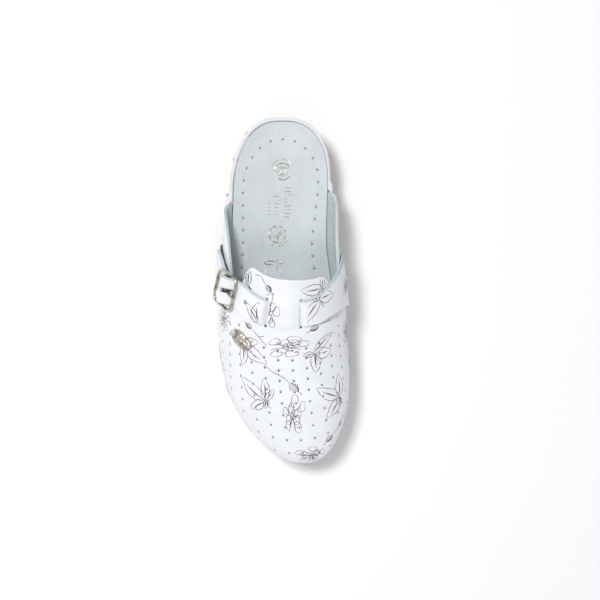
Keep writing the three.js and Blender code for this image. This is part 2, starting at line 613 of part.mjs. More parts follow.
// ---------------------------------------------------------------- fasteners
const weltNail = nailShape(NAIL_RADIUS, NAIL_LENGTH, 2.2, 7);
const treadNail = nailShape(NAIL_RADIUS, TREAD_NAIL_LENGTH, 2.2, 7);
const numbered = (name, i) => `${name}_${String(i + 1).padStart(2, '0')}`;
weltNails.forEach(({ at, outward }, i) => add(numbered('welt_nail', i), aim(weltNail, at, outward), STEEL));
treadNails.forEach(({ at, outward }, i) => add(numbered('tread_nail', i), aim(treadNail, at, outward), STEEL));

export default clog;
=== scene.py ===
import math

import bmesh
import bpy
import numpy as np
from mathutils import Matrix, Vector


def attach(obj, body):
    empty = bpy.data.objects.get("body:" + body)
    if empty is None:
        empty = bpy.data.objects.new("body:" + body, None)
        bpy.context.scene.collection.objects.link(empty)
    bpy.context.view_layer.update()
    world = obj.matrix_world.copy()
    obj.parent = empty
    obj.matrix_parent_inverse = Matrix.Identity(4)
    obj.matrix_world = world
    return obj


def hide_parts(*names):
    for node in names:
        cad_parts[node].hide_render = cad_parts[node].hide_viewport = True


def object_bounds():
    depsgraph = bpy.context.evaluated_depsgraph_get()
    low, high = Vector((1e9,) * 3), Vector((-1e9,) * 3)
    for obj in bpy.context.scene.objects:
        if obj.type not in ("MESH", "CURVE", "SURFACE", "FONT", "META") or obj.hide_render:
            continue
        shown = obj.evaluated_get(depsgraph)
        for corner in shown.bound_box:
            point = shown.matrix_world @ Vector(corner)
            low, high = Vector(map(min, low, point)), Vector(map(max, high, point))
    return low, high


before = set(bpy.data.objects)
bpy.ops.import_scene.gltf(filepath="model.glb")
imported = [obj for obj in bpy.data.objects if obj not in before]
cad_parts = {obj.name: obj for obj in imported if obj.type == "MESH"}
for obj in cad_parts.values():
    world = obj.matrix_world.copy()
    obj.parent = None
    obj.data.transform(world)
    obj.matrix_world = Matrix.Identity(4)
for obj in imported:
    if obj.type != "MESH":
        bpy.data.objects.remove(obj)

bl_info = {
    "name": "Clog Maker",
    "version": (1, 0, 0),
    "blender": (4, 5, 0),
    "location": "3D View > Sidebar > Clog",
    "description": "Builds the finished surfaces of a nailed wooden clog round its CAD frame",
    "category": "Object",
}

MM = 0.001
CAD_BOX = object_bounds()
BODY = "clog_body"

# Sizes of the clog in millimetres, as its CAD model has them. Names with Q or SLIT and STRAP_END are
# angles round the upper in radians, from the outer rim at 0 to the inner one at pi.
GAP = 0.3
LIE = 0.55                     # clearance under ribbons that lie on the upper
WELT_HEIGHT = 9.0
MARGIN = 10.0                  # upper below the rim
WALL = 8.0                     # flaring foot of the upper above the rim
BULGE = 5.0
RISE = 49.0
RISE_SLOPE = 0.28
COVER = 1.2
PAD = 2.6
TREAD = 4.8
TAPE = 1.0
TAPE_HALF = 9.0
WIRE = 1.1
BAR = 1.0
BUCKLE_REACH = 10.5
BUCKLE_HALF = 13.0
BALL_HALF = 48.0
CORNER = 0.8
RADIAN_LENGTH = 60.0
X_SHIFT = 3.2
BREAST = 0.4
WING_OUTER = 66.0
WING_INNER = 75.0
SLIT_OUTER = 1.19
SLIT_INNER = 1.7
SLIT_RUN = 0.06
BUCKLE_Q = 0.52
BAR_LIFT = 6.8
STRAP_END = 0.05
TIP_ROUND = 0.16
STRAP_HALF = 9.6
LOOP_IN = BAR + 0.35
LOOP_OUT = LOOP_IN + 0.8
INNER_LIFT = 6.55              # height of the wire in the buckle's frame at x = -BUCKLE_REACH
OUTER_LIFT = 8.1               # and at x = BUCKLE_REACH
STRAP_FOOT = 19.5              # half the strap's width at the inner welt
STRAP_FOOT_Y = 8.0
TAPE_FOOT_Y = 26.0
WELT_THICK = 2.2
WELT_HEEL_EXTRA = 0.6
BADGE_Q = 0.785
BADGE_Y = -35.4
BADGE_LONG = 9.6
BADGE_SHORT = 5.2
BADGE_TURN = -0.75
RIM_NAILS = 22
NAIL_HEAD = 2.2

# Details of the finish in millimetres; the strap holes' places are such angles too.
VENT_PITCH = 10.35
VENT_SHIFT = 0.2
INSOLE_EDGE = 0.1
FOOTBED_EDGE = 0.4
INSOLE_HOLE = 0.8
INSOLE_PITCH = 9.2
STRAP_HOLE = 1.5
STRAP_HOLES_Q = (0.88, 0.27)
INK_RISE = 0.05
FOIL_WIDTH = 0.6
FOIL_RISE = 0.07


class ClogSizes(bpy.types.PropertyGroup):
    leather: bpy.props.FloatProperty(
        name="Leather", description="Thickness of the upper and the strap, in millimetres", default=2.0)
    punch: bpy.props.FloatProperty(
        name="Punch", description="Diameter of the upper's ventilation holes, in millimetres", default=1.7)
    pen: bpy.props.FloatProperty(
        name="Pen", description="Width of the printed lines, in millimetres", default=0.62)


class ClogColours(bpy.types.PropertyGroup):
    white: bpy.props.FloatVectorProperty(
        name="White leather", description="Grain side of the upper", subtype="COLOR",
        default=(0.84, 0.845, 0.865))
    suede: bpy.props.FloatVectorProperty(
        name="Flesh side", description="Suede inside the upper", subtype="COLOR",
        default=(0.432, 0.504, 0.504))
    raw: bpy.props.FloatVectorProperty(
        name="Cut edge", description="Raw edges of the leather", subtype="COLOR", default=(0.50, 0.58, 0.61))
    insole: bpy.props.FloatVectorProperty(
        name="Insole", description="Pigskin of the footbed", subtype="COLOR", default=(0.60, 0.635, 0.645))
    ink: bpy.props.FloatVectorProperty(
        name="Ink", description="Printed flower lines", subtype="COLOR", default=(0.075, 0.05, 0.08))
    nickel: bpy.props.FloatVectorProperty(
        name="Antique nickel", description="Buckle wire", subtype="COLOR", default=(0.60, 0.53, 0.44))
    bronze: bpy.props.FloatVectorProperty(
        name="Antique bronze", description="Oval badge", subtype="COLOR", default=(0.86, 0.77, 0.68))
    wood: bpy.props.FloatVectorProperty(
        name="Wood", description="Sole", subtype="COLOR", default=(0.58, 0.40, 0.23))


# ------------------------------------------------------------------ smooth functions
def curve(knots):
    """Smooth curve through (position, value) knots: cubic Hermite pieces whose slope at a knot is
    that of the chord between its neighbours, flat beyond both ends."""
    at, value = np.array(knots, float).T
    before = np.r_[0, np.arange(len(at) - 1)]
    after = np.r_[np.arange(1, len(at)), len(at) - 1]
    slope = (value[after] - value[before]) / (at[after] - at[before])

    def evaluate(x):
        x = np.clip(x, at[0], at[-1])
        i = np.clip(np.searchsorted(at, x, side="right") - 1, 0, len(at) - 2)
        step = at[i + 1] - at[i]
        f = (x - at[i]) / step
        rise = value[i] * (2 * f**3 - 3 * f**2 + 1) + value[i + 1] * (3 * f**2 - 2 * f**3)
        return rise + step * (slope[i] * (f**3 - 2 * f**2 + f) + slope[i + 1] * (f**3 - f**2))

    return evaluate


def ease(low, high, x):
    """3f^2 - 2f^3 with f running from 0 at low to 1 at high."""
    f = np.clip((x - low) / (high - low), 0, 1)
    return f * f * (3 - 2 * f)


def power(base, exponent):
    return np.maximum(base, 0) ** exponent


def mix(a, b, f):
    return a + (b - a) * f


class Last:
    """The clog's shape as functions, in millimetres. tau runs from 0 at the heel to pi at the toe and
    t = cos(tau); q runs over the upper from 0 at the foot of the dome on the outer side to pi on the
    inner side, and beyond both down the wall; d is the distance outside the last."""

    def __init__(self, leather):
        self.leather = leather
        self.inside = GAP
        self.outside = GAP + leather
        self.strap_mid = self.outside + LIE + leather / 2
        self.tape_mid = self.outside + LIE + TAPE / 2
        heel_stack = GAP + WELT_THICK + WELT_HEEL_EXTRA
        length = (CAD_BOX[1][1] - CAD_BOX[0][1]) / MM
        self.half = (length - heel_stack - self.outside - BULGE) / 2
        self.y_shift = (self.outside + BULGE - heel_stack) / 2
        self.outer_half = curve([
            (-1, 0.829), (-0.69, 0.971), (-0.24, 0.873), (0.23, 0.769), (0.49, 0.82), (0.7, 0.945),
            (1, 1.09)])
        self.inner_half = curve([
            (-1, 0.858), (-0.69, 0.967), (-0.24, 0.863), (0.23, 0.744), (0.49, 0.8), (0.7, 0.914),
            (1, 1.109)])
        self.sway = curve([
            (-1, -1.2), (-0.3, -1.5), (0, -2.2), (0.25, -3.6), (0.5, -3.6), (0.8, -2.3), (1, -2.1)])
        self.rim = curve([(-1, 35), (-0.73, 29.5), (-0.36, 27.5), (0, 32), (0.36, 39.5), (0.73, 45), (1, 47)])
        self.rear_edge = curve([
            (-self.q_margin, WING_OUTER + 2), (-self.q_rim, WING_OUTER), (0, 59), (0.2, 47), (0.38, 28),
            (0.52, 6),
            (0.62, -3), (0.7, -2), (0.76, 4), (0.81, 10.5), (0.87, 14.5), (0.93, 15.6), (1, 14.4), (1.1, 11.4),
            (1.2, 9.2), (1.35, 7.5), (1.65, 6.6), (1.9, 7.6), (2.05, 9), (2.15, 8.6), (2.25, 5.5), (2.36, 0),
            (2.46, -3), (2.58, 4), (2.76, 30), (2.95, 53), (math.pi, 67),
            (math.pi + self.q_rim, WING_INNER + 1),
            (math.pi + self.q_margin, WING_INNER + 2)])
        self.strap_y = curve([
            (0.04, 27), (0.22, 14.5), (0.4, 4.4), (BUCKLE_Q, 1), (0.74, -4), (0.95, -11), (SLIT_OUTER, -16),
            (1.45, -17.5), (SLIT_INNER, -17), (2, -13.5), (2.4, -3), (2.8, 5.5), (math.pi, STRAP_FOOT_Y),
            (math.pi + self.q_margin, STRAP_FOOT_Y)])
        self.strap_foot = curve([
            (2.1, STRAP_HALF), (2.6, 15), (3, 18.8), (math.pi + self.q_margin, STRAP_FOOT)])
        self.tape_y = curve([
            (-self.q_margin, TAPE_FOOT_Y), (0, 23.5), (0.2, 15), (0.4, 5.2), (0.5, 2.3), (BUCKLE_Q, 1),
            (0.7, -3)])

    q_margin = (MARGIN + WALL) / RADIAN_LENGTH
    q_rim = WALL / RADIAN_LENGTH

    def swing(self, t):
        return self.sway(t) + 14 * power((-t - 0.16) / 0.84, 1.8)

    def crown(self, t):
        return (RISE + RISE_SLOPE * t * self.half) * np.sqrt(np.maximum(1 - power(-t, 6), 0))

    def wood_bottom(self, t):
        spring = 12 * power((-t - 0.5) / 0.5, 1.8)
        arch = np.where(t < BREAST, 13 * ease(-0.08, 0.3, t), 0)
        return TREAD + GAP + spring + arch + 0.8 * ease(0.9, 1, t)

    def tau_at(self, y):
        return np.arccos(np.clip((y - self.y_shift) / (self.half + self.outside + BULGE), -1, 1))

    def spot(self, tau, side, d):
        """Plan outline: x = swing + side (half width + d) sin(tau)^corner, y = (half + d) cos(tau)."""
        t = np.cos(tau)
        half = BALL_HALF * np.where(side < 0, self.outer_half(t), self.inner_half(t)) + d
        x = X_SHIFT + self.swing(t) + side * half * power(np.sin(tau), CORNER)
        return x, self.y_shift + (self.half + d) * t

    def foot_height(self, tau, u):
        """Footbed: the rim's height less a dish (1 - u^2), plus the inner arch and metatarsal swell."""
        t = np.cos(tau)
        cup = mix(2.5, 6, ease(0.1, 0.8, t))
        arch = 5 * ease(-0.35, 0.1, t) * (1 - ease(0.3, 0.6, t)) * ease(0.1, 0.9, u)
        swell = 2.2 * np.exp(-(((t + 0.08) / 0.16) ** 2) - (u / 0.45) ** 2)
        dish = (1 - u * u) * np.sin(tau)
        return self.rim(t) - cup * dish + (arch * dish + swell) * np.sin(tau)

    def footbed(self, tau, u, drop, inset):
        """A point of the footbed drop below its surface and inset from the outline, u from -1 to 1."""
        ax, ay = self.spot(tau, -1, -inset)
        bx, by = self.spot(tau, 1, -inset)
        g = (u + 1) / 2
        return np.stack([mix(ax, bx, g), mix(ay, by, g), self.foot_height(tau, u) - drop], -1)

    def shell(self, tau, q, d):
        """The upper: a flaring wall, then x = reach of cos(q)^boxy and z = crown sin(q)^boxy."""
        tau, q, d = np.broadcast_arrays(tau, q, d)
        t = np.cos(tau)
        side = np.where(q > math.pi / 2, 1.0, -1.0)
        climb = np.where(side > 0, math.pi - q, q)
        v = WALL + climb * RADIAN_LENGTH
        flare = np.where(v > 0, BULGE * np.sin(math.pi / 2 * np.clip(v / WALL, 0, 1)), 0)
        wall_x, wall_y = self.spot(tau, side, d + flare)
        ax, ay = self.spot(tau, -1, d + BULGE)
        bx, by = self.spot(tau, 1, d + BULGE)
        boxy = 1 - 0.2 * ease(0, 0.9, -t)
        angle = np.clip(climb, 0, math.pi / 2)
        reach = side * power(np.cos(angle), boxy)
        up = power(np.sin(angle), boxy)
        lean = 3 * up * up * self.crown(t) / RISE
        dome = np.stack([
            (ax + bx) / 2 + reach * (bx - ax) / 2 + lean, (ay + by) / 2,
            self.rim(t) + WALL + (self.crown(t) + d) * up], -1)
        wall = np.stack([wall_x, wall_y, self.rim(t) + v], -1)
        return np.where((climb < 0)[..., None], wall, dome)

    def on_shell(self, q, y, d):
        return self.shell(self.tau_at(y), q, d)

    def tangents(self, q, y):
        """Central differences of the shell along q and y, and their unit cross product."""
        step = 0.01
        along_q = (self.on_shell(q + step, y, 0.0) - self.on_shell(q - step, y, 0.0)) / (2 * step)
        along_y = (self.on_shell(q, y + step, 0.0) - self.on_shell(q, y - step, 0.0)) / (2 * step)
        return along_q, along_y, unit(np.cross(along_q, along_y))

    def strap_offset(self, q):
        """Distance of the strap's middle from the last: on the upper, under the bridge, over the bar."""
        under = ease(SLIT_OUTER - SLIT_RUN, SLIT_OUTER + SLIT_RUN, q)
        under = under * (1 - ease(SLIT_INNER - SLIT_RUN, SLIT_INNER + SLIT_RUN, q))
        over_bar = 1 - ease(0.015, 0.15, np.abs(q - BUCKLE_Q))
        tail = (1 - ease(BUCKLE_Q - 0.16, BUCKLE_Q - 0.05, q)) * (TAPE + LIE)
        top = BAR_LIFT + LOOP_OUT + 3 * GAP + self.leather / 2
        return mix(mix(self.strap_mid + tail, top, over_bar), -self.leather / 2, under)

    def strap_half(self, q):
        return self.strap_foot(q) * np.sqrt(1 - 0.85 * power((STRAP_END + TIP_ROUND - q) / TIP_ROUND, 2))

    def tape_offset(self, q):
        return mix(self.tape_mid, BAR_LIFT - (LOOP_IN + LOOP_OUT) / 2, ease(BUCKLE_Q - 0.1, BUCKLE_Q, q))


def unit(v):
    return v / np.linalg.norm(v, axis=-1, keepdims=True)


def dot(a, b):
    return np.sum(a * b, -1)


def surface_step(along_q, along_y, direction):
    """The change of (q, y) that moves along a direction in the tangent plane: the inverse metric
    applied to the direction's dot products with the two tangents."""
    e, f, g = dot(along_q, along_q), dot(along_q, along_y), dot(along_y, along_y)
    a, b = dot(direction, along_q), dot(direction, along_y)
    det = e * g - f * f
    return (a * g - b * f) / det, (b * e - a * f) / det


# ------------------------------------------------------------------ meshes
def make_object(name, points, faces, uv=None, smooth=True):
    """A mesh object from millimetre points and lists of corners; uv is one pair per point."""
    mesh = bpy.data.meshes.new(name)
    mesh.from_pydata((np.asarray(points) * MM).tolist(), [], faces)
    mesh.polygons.foreach_set("use_smooth", np.full(len(mesh.polygons), smooth))
    if uv is not None:
        corners = np.empty(len(mesh.loops), int)
        mesh.loops.foreach_get("vertex_index", corners)
        layer = mesh.uv_layers.new(name="lay")
        layer.data.foreach_set("uv", np.asarray(uv, np.float32)[corners].ravel())
    mesh.update()
    piece = bpy.data.objects.new(name, mesh)
    bpy.context.scene.collection.objects.link(piece)
    return piece


def grid_faces(rows, cols, wrap_rows=False, wrap_cols=False, flip=False):
    """Quads between neighbouring points of a grid, row by row."""
    i = np.arange(rows if wrap_rows else rows - 1)[:, None]
    j = np.arange(cols if wrap_cols else cols - 1)[None, :]
    a = i * cols + j
    b = i * cols + (j + 1) % cols
    c = (i + 1) % rows * cols + (j + 1) % cols
    d = (i + 1) % rows * cols + j
    quads = np.stack([a, b, c, d] if not flip else [a, d, c, b], -1)
    return quads.reshape(-1, 4)


def sweep(name, loops, uv=None, closed=False, flip=False):
    """Closed loops of points carried along a path and capped at both ends, or joined end to end."""
    rows, cols = loops.shape[:2]
    faces = grid_faces(rows, cols, closed, True, flip).tolist()
    if not closed:
        first, last = list(range(cols)), list(range((rows - 1) * cols, rows * cols))
        faces += [first[::-1], last] if not flip else [first, last[::-1]]
    return make_object(name, loops.reshape(-1, 3), faces, None if uv is None else uv.reshape(-1, 2))


def outwards(piece):
    """Turns a closed mesh's faces outwards by the sign of its volume."""
    mesh = piece.data
    mesh.calc_loop_triangles()
    corners = np.empty(len(mesh.loop_triangles) * 3, int)
    mesh.loop_triangles.foreach_get("vertices", corners)
    place = np.empty(len(mesh.vertices) * 3)
    mesh.vertices.foreach_get("co", place)
    a, b, c = place.reshape(-1, 3)[corners.reshape(-1, 3)].transpose(1, 0, 2)
    if np.sum(dot(a, np.cross(b, c))) < 0:
        mesh.flip_normals()
    return piece


def section(half, thick, radius, across=9, arc=4):
    """Rounded rectangle: (across, height) points once round, from the top edge."""
    turn = np.linspace(0, math.pi / 2, arc)
    corner = np.stack([np.cos(turn), np.sin(turn)], -1) * radius
    x, y = half - radius, thick / 2 - radius
    flats = np.linspace(1, -1, across)[1:-1] * x
    top = np.stack([flats, np.full_like(flats, thick / 2)], -1)
    right = corner + (x, y)
    left = corner[::-1] * (-1, 1) + (-x, y)
    upper_half = np.concatenate([right, top, left])
    return np.concatenate([upper_half, upper_half[::-1] * (1, -1)])


def joined(name, pieces):
    """One object from several, keeping their materials."""
    with bpy.context.temp_override(
        active_object=pieces[0], selected_editable_objects=pieces, selected_objects=pieces
    ):
        bpy.ops.object.join()
    pieces[0].name = name
    pieces[0].data.name = name
    return pieces[0]


def dress(piece, body, slot, replaced, *materials):
    """Gives a piece its materials and body, and hides the CAD nodes it stands for; the record slot is not used."""
    if not piece.data.materials:
        for material in materials:
            piece.data.materials.append(material)
    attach(piece, body)
    if replaced:
        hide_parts(*replaced)
    return piece


# ------------------------------------------------------------------ shader expressions
class Value:
    """A number socket in a shader; arithmetic on it adds Math nodes."""

    def __init__(self, look, socket):
        self.look, self.socket = look, socket

    def math(self, operation, *others):
        values = dict(enumerate((self, *others)))
        return self.look.node("ShaderNodeMath", {"operation": operation}, values)[0]

    def __add__(self, other): return self.math("ADD", other)
    def __sub__(self, other): return self.math("SUBTRACT", other)
    def __mul__(self, other): return self.math("MULTIPLY", other)
    def __rsub__(self, other): return self.look.constant(other).math("SUBTRACT", self)
    __radd__, __rmul__ = __add__, __mul__

    def sine(self): return self.math("SINE")

    def between(self, low, high):
        """0 below low, 1 above high, and 3f^2 - 2f^3 between."""
        ends = {0: self, 1: low, 2: high, 3: 0.0, 4: 1.0}
        return self.look.node("ShaderNodeMapRange", {"interpolation_type": "SMOOTHSTEP"}, ends)[0]


class Look:
    """One procedural material with a Principled shader."""

    def __init__(self, name, colour, roughness, metallic=0.0, **uniform):
        self.material = bpy.data.materials.new(name)
        self.material.use_nodes = True
        self.tree = self.material.node_tree
        self.shader = self.tree.nodes["Principled BSDF"]
        self.set(**{"Base Color": (*colour, 1.0), "Roughness": roughness, "Metallic": metallic})
        self.set(**{key.replace("_", " "): value for key, value in uniform.items()})

    def set(self, **values):
        for key, value in values.items():
            self.plug(self.shader.inputs[key], value)

    def plug(self, socket, value):
        if isinstance(value, Value):
            self.tree.links.new(value.socket, socket)
        elif isinstance(value, bpy.types.NodeSocket):
            self.tree.links.new(value, socket)
        else:
            socket.default_value = value

    def node(self, kind, settings, inputs):
        """Adds a node with its settings and inputs, and gives its outputs as values."""
        made = self.tree.nodes.new(kind)
        for key, value in settings.items():
            setattr(made, key, value)
        for key, value in inputs.items():
            self.plug(made.inputs[key], value)
        return [Value(self, socket) for socket in made.outputs if socket.enabled]

    def constant(self, number):
        return self.node("ShaderNodeMath", {"operation": "ADD"}, {0: number, 1: 0.0})[0]

    def place(self, stretch=(1.0, 1.0, 1.0)):
        """Object coordinates in metres, stretched along each axis."""
        at = self.tree.nodes.new("ShaderNodeTexCoord").outputs["Object"]
        return self.node("ShaderNodeMapping", {}, {"Vector": at, "Scale": stretch})[0]

    def lay(self):
        """The piece's own surface coordinates, in millimetres, as two values."""
        uv = self.tree.nodes.new("ShaderNodeUVMap")
        uv.uv_map = "lay"
        return self.node("ShaderNodeSeparateXYZ", {}, {0: uv.outputs[0]})[:2]

    def noise(self, scale, detail=3.0, at=None):
        inputs = {"Vector": at or self.place(), "Scale": scale, "Detail": detail}
        return self.node("ShaderNodeTexNoise", {}, inputs)[0]

    def cells(self, scale):
        inputs = {"Vector": self.place(), "Scale": scale}
        return self.node("ShaderNodeTexVoronoi", {"feature": "F1"}, inputs)[0]

    def blend(self, fraction, a, b):
        """Colour a where fraction is 0 and b where it is 1."""
        a, b = [(*c, 1.0) if isinstance(c, tuple) and len(c) == 3 else c for c in (a, b)]
        made = self.tree.nodes.new("ShaderNodeMix")
        made.data_type = "RGBA"
        for socket, value in ((made.inputs[0], fraction), (made.inputs[6], a), (made.inputs[7], b)):
            self.plug(socket, value)
        return Value(self, made.outputs[2])

    def bump(self, height, distance, strength=1.0):
        """Feeds a height, in units of distance metres, to the normal."""
        inputs = {"Height": height, "Distance": distance, "Strength": strength}
        self.set(Normal=self.node("ShaderNodeBump", {}, inputs)[0])


def shade(colour, factor):
    return tuple(channel * factor for channel in colour)


def rgb(colour):
    return tuple(colour)


def white_leather(name, colours, wear_and_glint=0.0):
    """Smooth white grain leather: fine pores, faint clouds and a soft shine."""
    look = Look(name, rgb(colours.white), 0.42, Specular_IOR_Level=0.45)
    cloud = look.noise(45.0, 2.0)
    pores = look.cells(900.0)
    grain = look.noise(1400.0, 2.0)
    white = rgb(colours.white)
    colour = look.blend(cloud.between(0.3, 0.75), shade(white, 0.97), shade(white, 1.03))
    look.set(**{"Base Color": colour, "Roughness": cloud * 0.12 + 0.36 + wear_and_glint})
    look.bump(grain * 0.35 + pores * 0.5, 0.00006, 0.6)
    return look.material


def suede(colours):
    look = Look("flesh_side", rgb(colours.suede), 0.95, Sheen_Weight=0.25)
    nap = look.noise(900.0, 5.0)
    cloud = look.noise(60.0, 3.0)
    colour = look.blend(nap.between(0.3, 0.7), shade(rgb(colours.suede), 0.8), shade(rgb(colours.suede), 1.2))
    look.set(**{"Base Color": look.blend(cloud * 0.4, colour, shade(rgb(colours.suede), 1.25))})
    look.bump(nap, 0.0003)
    return look.material


def raw_edge(colours):
    look = Look("cut_edge", rgb(colours.raw), 0.7)
    fibre = look.noise(1200.0, 4.0, look.place((1, 1, 3)))
    look.set(**{"Base Color": look.blend(
        fibre.between(0.3, 0.7), shade(rgb(colours.raw), 0.85), shade(rgb(colours.raw), 1.15))})
    look.bump(fibre, 0.0001)
    return look.material


def pigskin(colours):
    """Insole leather: pores in loose groups, soft clouds and a fine nap."""
    look = Look("pigskin", rgb(colours.insole), 0.72, Sheen_Weight=0.08)
    pores = look.cells(420.0)
    groups = look.cells(170.0)
    cloud = look.noise(28.0, 3.0)
    pit = (1 - pores.between(0.12, 0.27)) * (1 - groups.between(0.45, 0.75) * 0.7)
    grain = look.noise(700.0, 4.0)
    skin = rgb(colours.insole)
    colour = look.blend(cloud.between(0.3, 0.7), shade(skin, 0.95), shade(skin, 1.05))
    colour = look.blend(pit * 0.3, colour, shade(rgb(colours.insole), 0.6))
    look.set(**{"Base Color": colour, "Roughness": grain * 0.2 + 0.6})
    look.bump(grain * 0.25 - pit * 0.6, 0.00016)
    return look.material


def smooth_welt():
    look = Look("welt_leather", (0.7, 0.7, 0.74), 0.5)
    grain = look.cells(700.0)
    scuff = look.noise(60.0, 4.0)
    look.set(**{"Base Color": look.blend(scuff.between(0.35, 0.7), (0.68, 0.68, 0.72), (0.75, 0.75, 0.78))})
    look.bump(grain * 0.6 + scuff * 0.5, 0.00008)
    return look.material


def carved_wood(colours):
    """Alder: rings seen along the sole as stretched waves, fine fibres, and darker end grain streaks."""
    look = Look("carved_wood", rgb(colours.wood), 0.5, Coat_Weight=0.15)
    bent = look.noise(9.0, 3.0, look.place((1, 0.25, 1)))
    height = look.node("ShaderNodeSeparateXYZ", {}, {0: look.place()})[2]
    side = look.node("ShaderNodeSeparateXYZ", {}, {0: look.place()})[0]
    rings = ((height * 330.0 + side * 120.0 + bent * 9.0).sine() * 0.5 + 0.5)
    fibres = look.noise(420.0, 4.0, look.place((1, 0.05, 1)))
    colour = look.blend(rings, shade(rgb(colours.wood), 0.80), shade(rgb(colours.wood), 1.15))
    colour = look.blend(fibres.between(0.45, 0.8), colour, shade(rgb(colours.wood), 0.78))
    look.set(**{"Base Color": colour, "Roughness": fibres * 0.3 + 0.35})
    look.bump(fibres * 0.8 + rings * 0.2, 0.00025)
    return look.material


def tread_rubber():
    look = Look("tread_rubber", (0.33, 0.25, 0.16), 0.75)
    dust = look.noise(90.0, 5.0)
    speck = look.noise(900.0, 2.0)
    look.set(**{"Base Color": look.blend(dust.between(0.35, 0.7), (0.25, 0.19, 0.12), (0.36, 0.28, 0.19))})
    look.set(Roughness=dust * 0.2 + 0.65)
    look.bump(speck + dust, 0.0002)
    return look.material


def foam():
    look = Look("foam", (0.62, 0.58, 0.5), 0.95)
    bubbles = look.cells(800.0)
    look.set(**{"Base Color": look.blend(bubbles, (0.5, 0.46, 0.4), (0.68, 0.64, 0.56))})
    look.bump(bubbles, 0.0004)
    return look.material


def woven_elastic():
    """Black braid: ribs 1.1 mm apart across the tape, crossed by fine picks; lay in millimetres."""
    look = Look("woven_elastic", (0.012, 0.012, 0.014), 0.8, Sheen_Weight=0.2)
    u, v = look.lay()
    ribs = (u * (2 * math.pi / 1.1)).sine() * 0.5 + 0.5
    picks = (v * (2 * math.pi / 0.6) + ribs * 2).sine() * 0.5 + 0.5
    weave = ribs * 0.6 + picks * 0.4
    look.set(**{"Base Color": look.blend(weave, (0.006, 0.006, 0.008), (0.05, 0.05, 0.056))})
    look.bump(weave, 0.0003)
    return look.material


def antique(name, colour, dark, hammer=0.0):
    """Cast metal with darkened hollows: cloudy tarnish, fine scratches and an uneven surface."""
    look = Look(name, colour, 0.3, 1.0)
    cloud = look.noise(220.0, 5.0)
    fine = look.noise(1500.0, 3.0)
    tarnish = cloud.between(0.42, 0.66)
    tone = look.blend(tarnish, colour, shade(colour, dark))
    look.set(**{"Base Color": tone, "Roughness": tarnish * 0.22 + 0.26})
    look.bump(cloud * (0.4 + hammer) + fine * 0.2, 0.00025)
    return look.material


def plain_steel():
    """Pale lacquered steel: soft clouds, lightly worn."""
    look = Look("nail_steel", (0.7, 0.7, 0.71), 0.38, 0.4)
    cloud = look.noise(400.0, 4.0)
    look.set(**{"Base Color": look.blend(cloud.between(0.4, 0.75), (0.76, 0.76, 0.78), (0.56, 0.55, 0.54))})
    look.set(Roughness=cloud * 0.25 + 0.25)
    look.bump(cloud, 0.0001)
    return look.material


def ink(colours):
    look = Look("printed_ink", rgb(colours.ink), 0.55)
    fade = look.noise(160.0, 3.0)
    ink = rgb(colours.ink)
    look.set(**{"Base Color": look.blend(fade.between(0.35, 0.75), ink, shade(ink, 2.6))})
    return look.material


def foil():
    """Hot foil: uneven gold that turns to silver and near-white in patches; the near-white patches are a painted
    glint.
    """
    look = Look("foil_print", (0.8, 0.72, 0.58), 0.3, 0.35)
    wear_and_glint = look.noise(260.0, 3.0)
    fine = look.noise(1300.0, 2.0)
    gold = look.blend(fine, (0.36, 0.26, 0.15), (0.6, 0.48, 0.32))
    # Painted glint: these noise patches blend the gold to near-white in place of highlights on the foil.
    look.set(**{"Base Color": look.blend(wear_and_glint.between(0.46, 0.56), gold, (0.99, 1.0, 0.99))})
    look.set(Roughness=fine * 0.3 + 0.15)
    return look.material


# ------------------------------------------------------------------ holes and strokes
def used_only(faces):
    """Drops the points that no face uses and numbers the rest again."""
    flat = np.concatenate([np.asarray(face).ravel() for face in faces])
    kept, inverse = np.unique(flat, return_inverse=True)
    cuts = np.cumsum([np.asarray(face).size for face in faces])[:-1]
    renumbered = [part.reshape(np.shape(face)) for part, face in zip(np.split(inverse, cuts), faces)]
    return kept, renumbered


def punch(a, b, keep, point, centres, radius):
    """Cuts round holes in a grid of surface parameters. Round each centre a block of quads is left
    out, and the block's border is moved on to a circle: centre + radius (cos, sin) in the tangent
    plane, turned back into parameters by the inverse metric."""
    places = point(a, b)
    step = 0.002
    for ca, cb in centres:
        middle = point(ca, cb)
        row, col = np.unravel_index(np.argmin(np.sum((places - middle) ** 2, -1)), a.shape)
        if not (2 < row < a.shape[0] - 3 and 2 < col < a.shape[1] - 3):
            continue
        down = (places[row + 1, col] - places[row - 1, col]) / 2
        right = (places[row, col + 1] - places[row, col - 1]) / 2
        rows = max(1, round(radius * 1.1 / np.linalg.norm(down)))
        cols = max(1, round(radius * 1.1 / np.linalg.norm(right)))
        low_row, low_col = row - rows, col - cols
        if low_row < 1 or low_col < 1 or row + rows > a.shape[0] - 2 or col + cols > a.shape[1] - 2:
            continue
        if not keep[low_row - 1:row + rows + 1, low_col - 1:col + cols + 1].all():
            continue
        i, j = np.mgrid[-rows:rows + 1, -cols:cols + 1]
        border = (np.abs(i) == rows) | (np.abs(j) == cols)
        turn = np.arctan2(i[border] / rows, j[border] / cols)
        first = unit(right)
        second = unit(down - first * dot(down, first))
        along_a = (point(ca + step, cb) - point(ca - step, cb)) / (2 * step)
        along_b = (point(ca, cb + step) - point(ca, cb - step)) / (2 * step)
        away = radius * (np.cos(turn)[:, None] * first + np.sin(turn)[:, None] * second)
        da, db = surface_step(along_a, along_b, away)
        a[row + i[border], col + j[border]] = ca + da
        b[row + i[border], col + j[border]] = cb + db
        keep[low_row:row + rows, low_col:col + cols] = False
    return a, b, keep


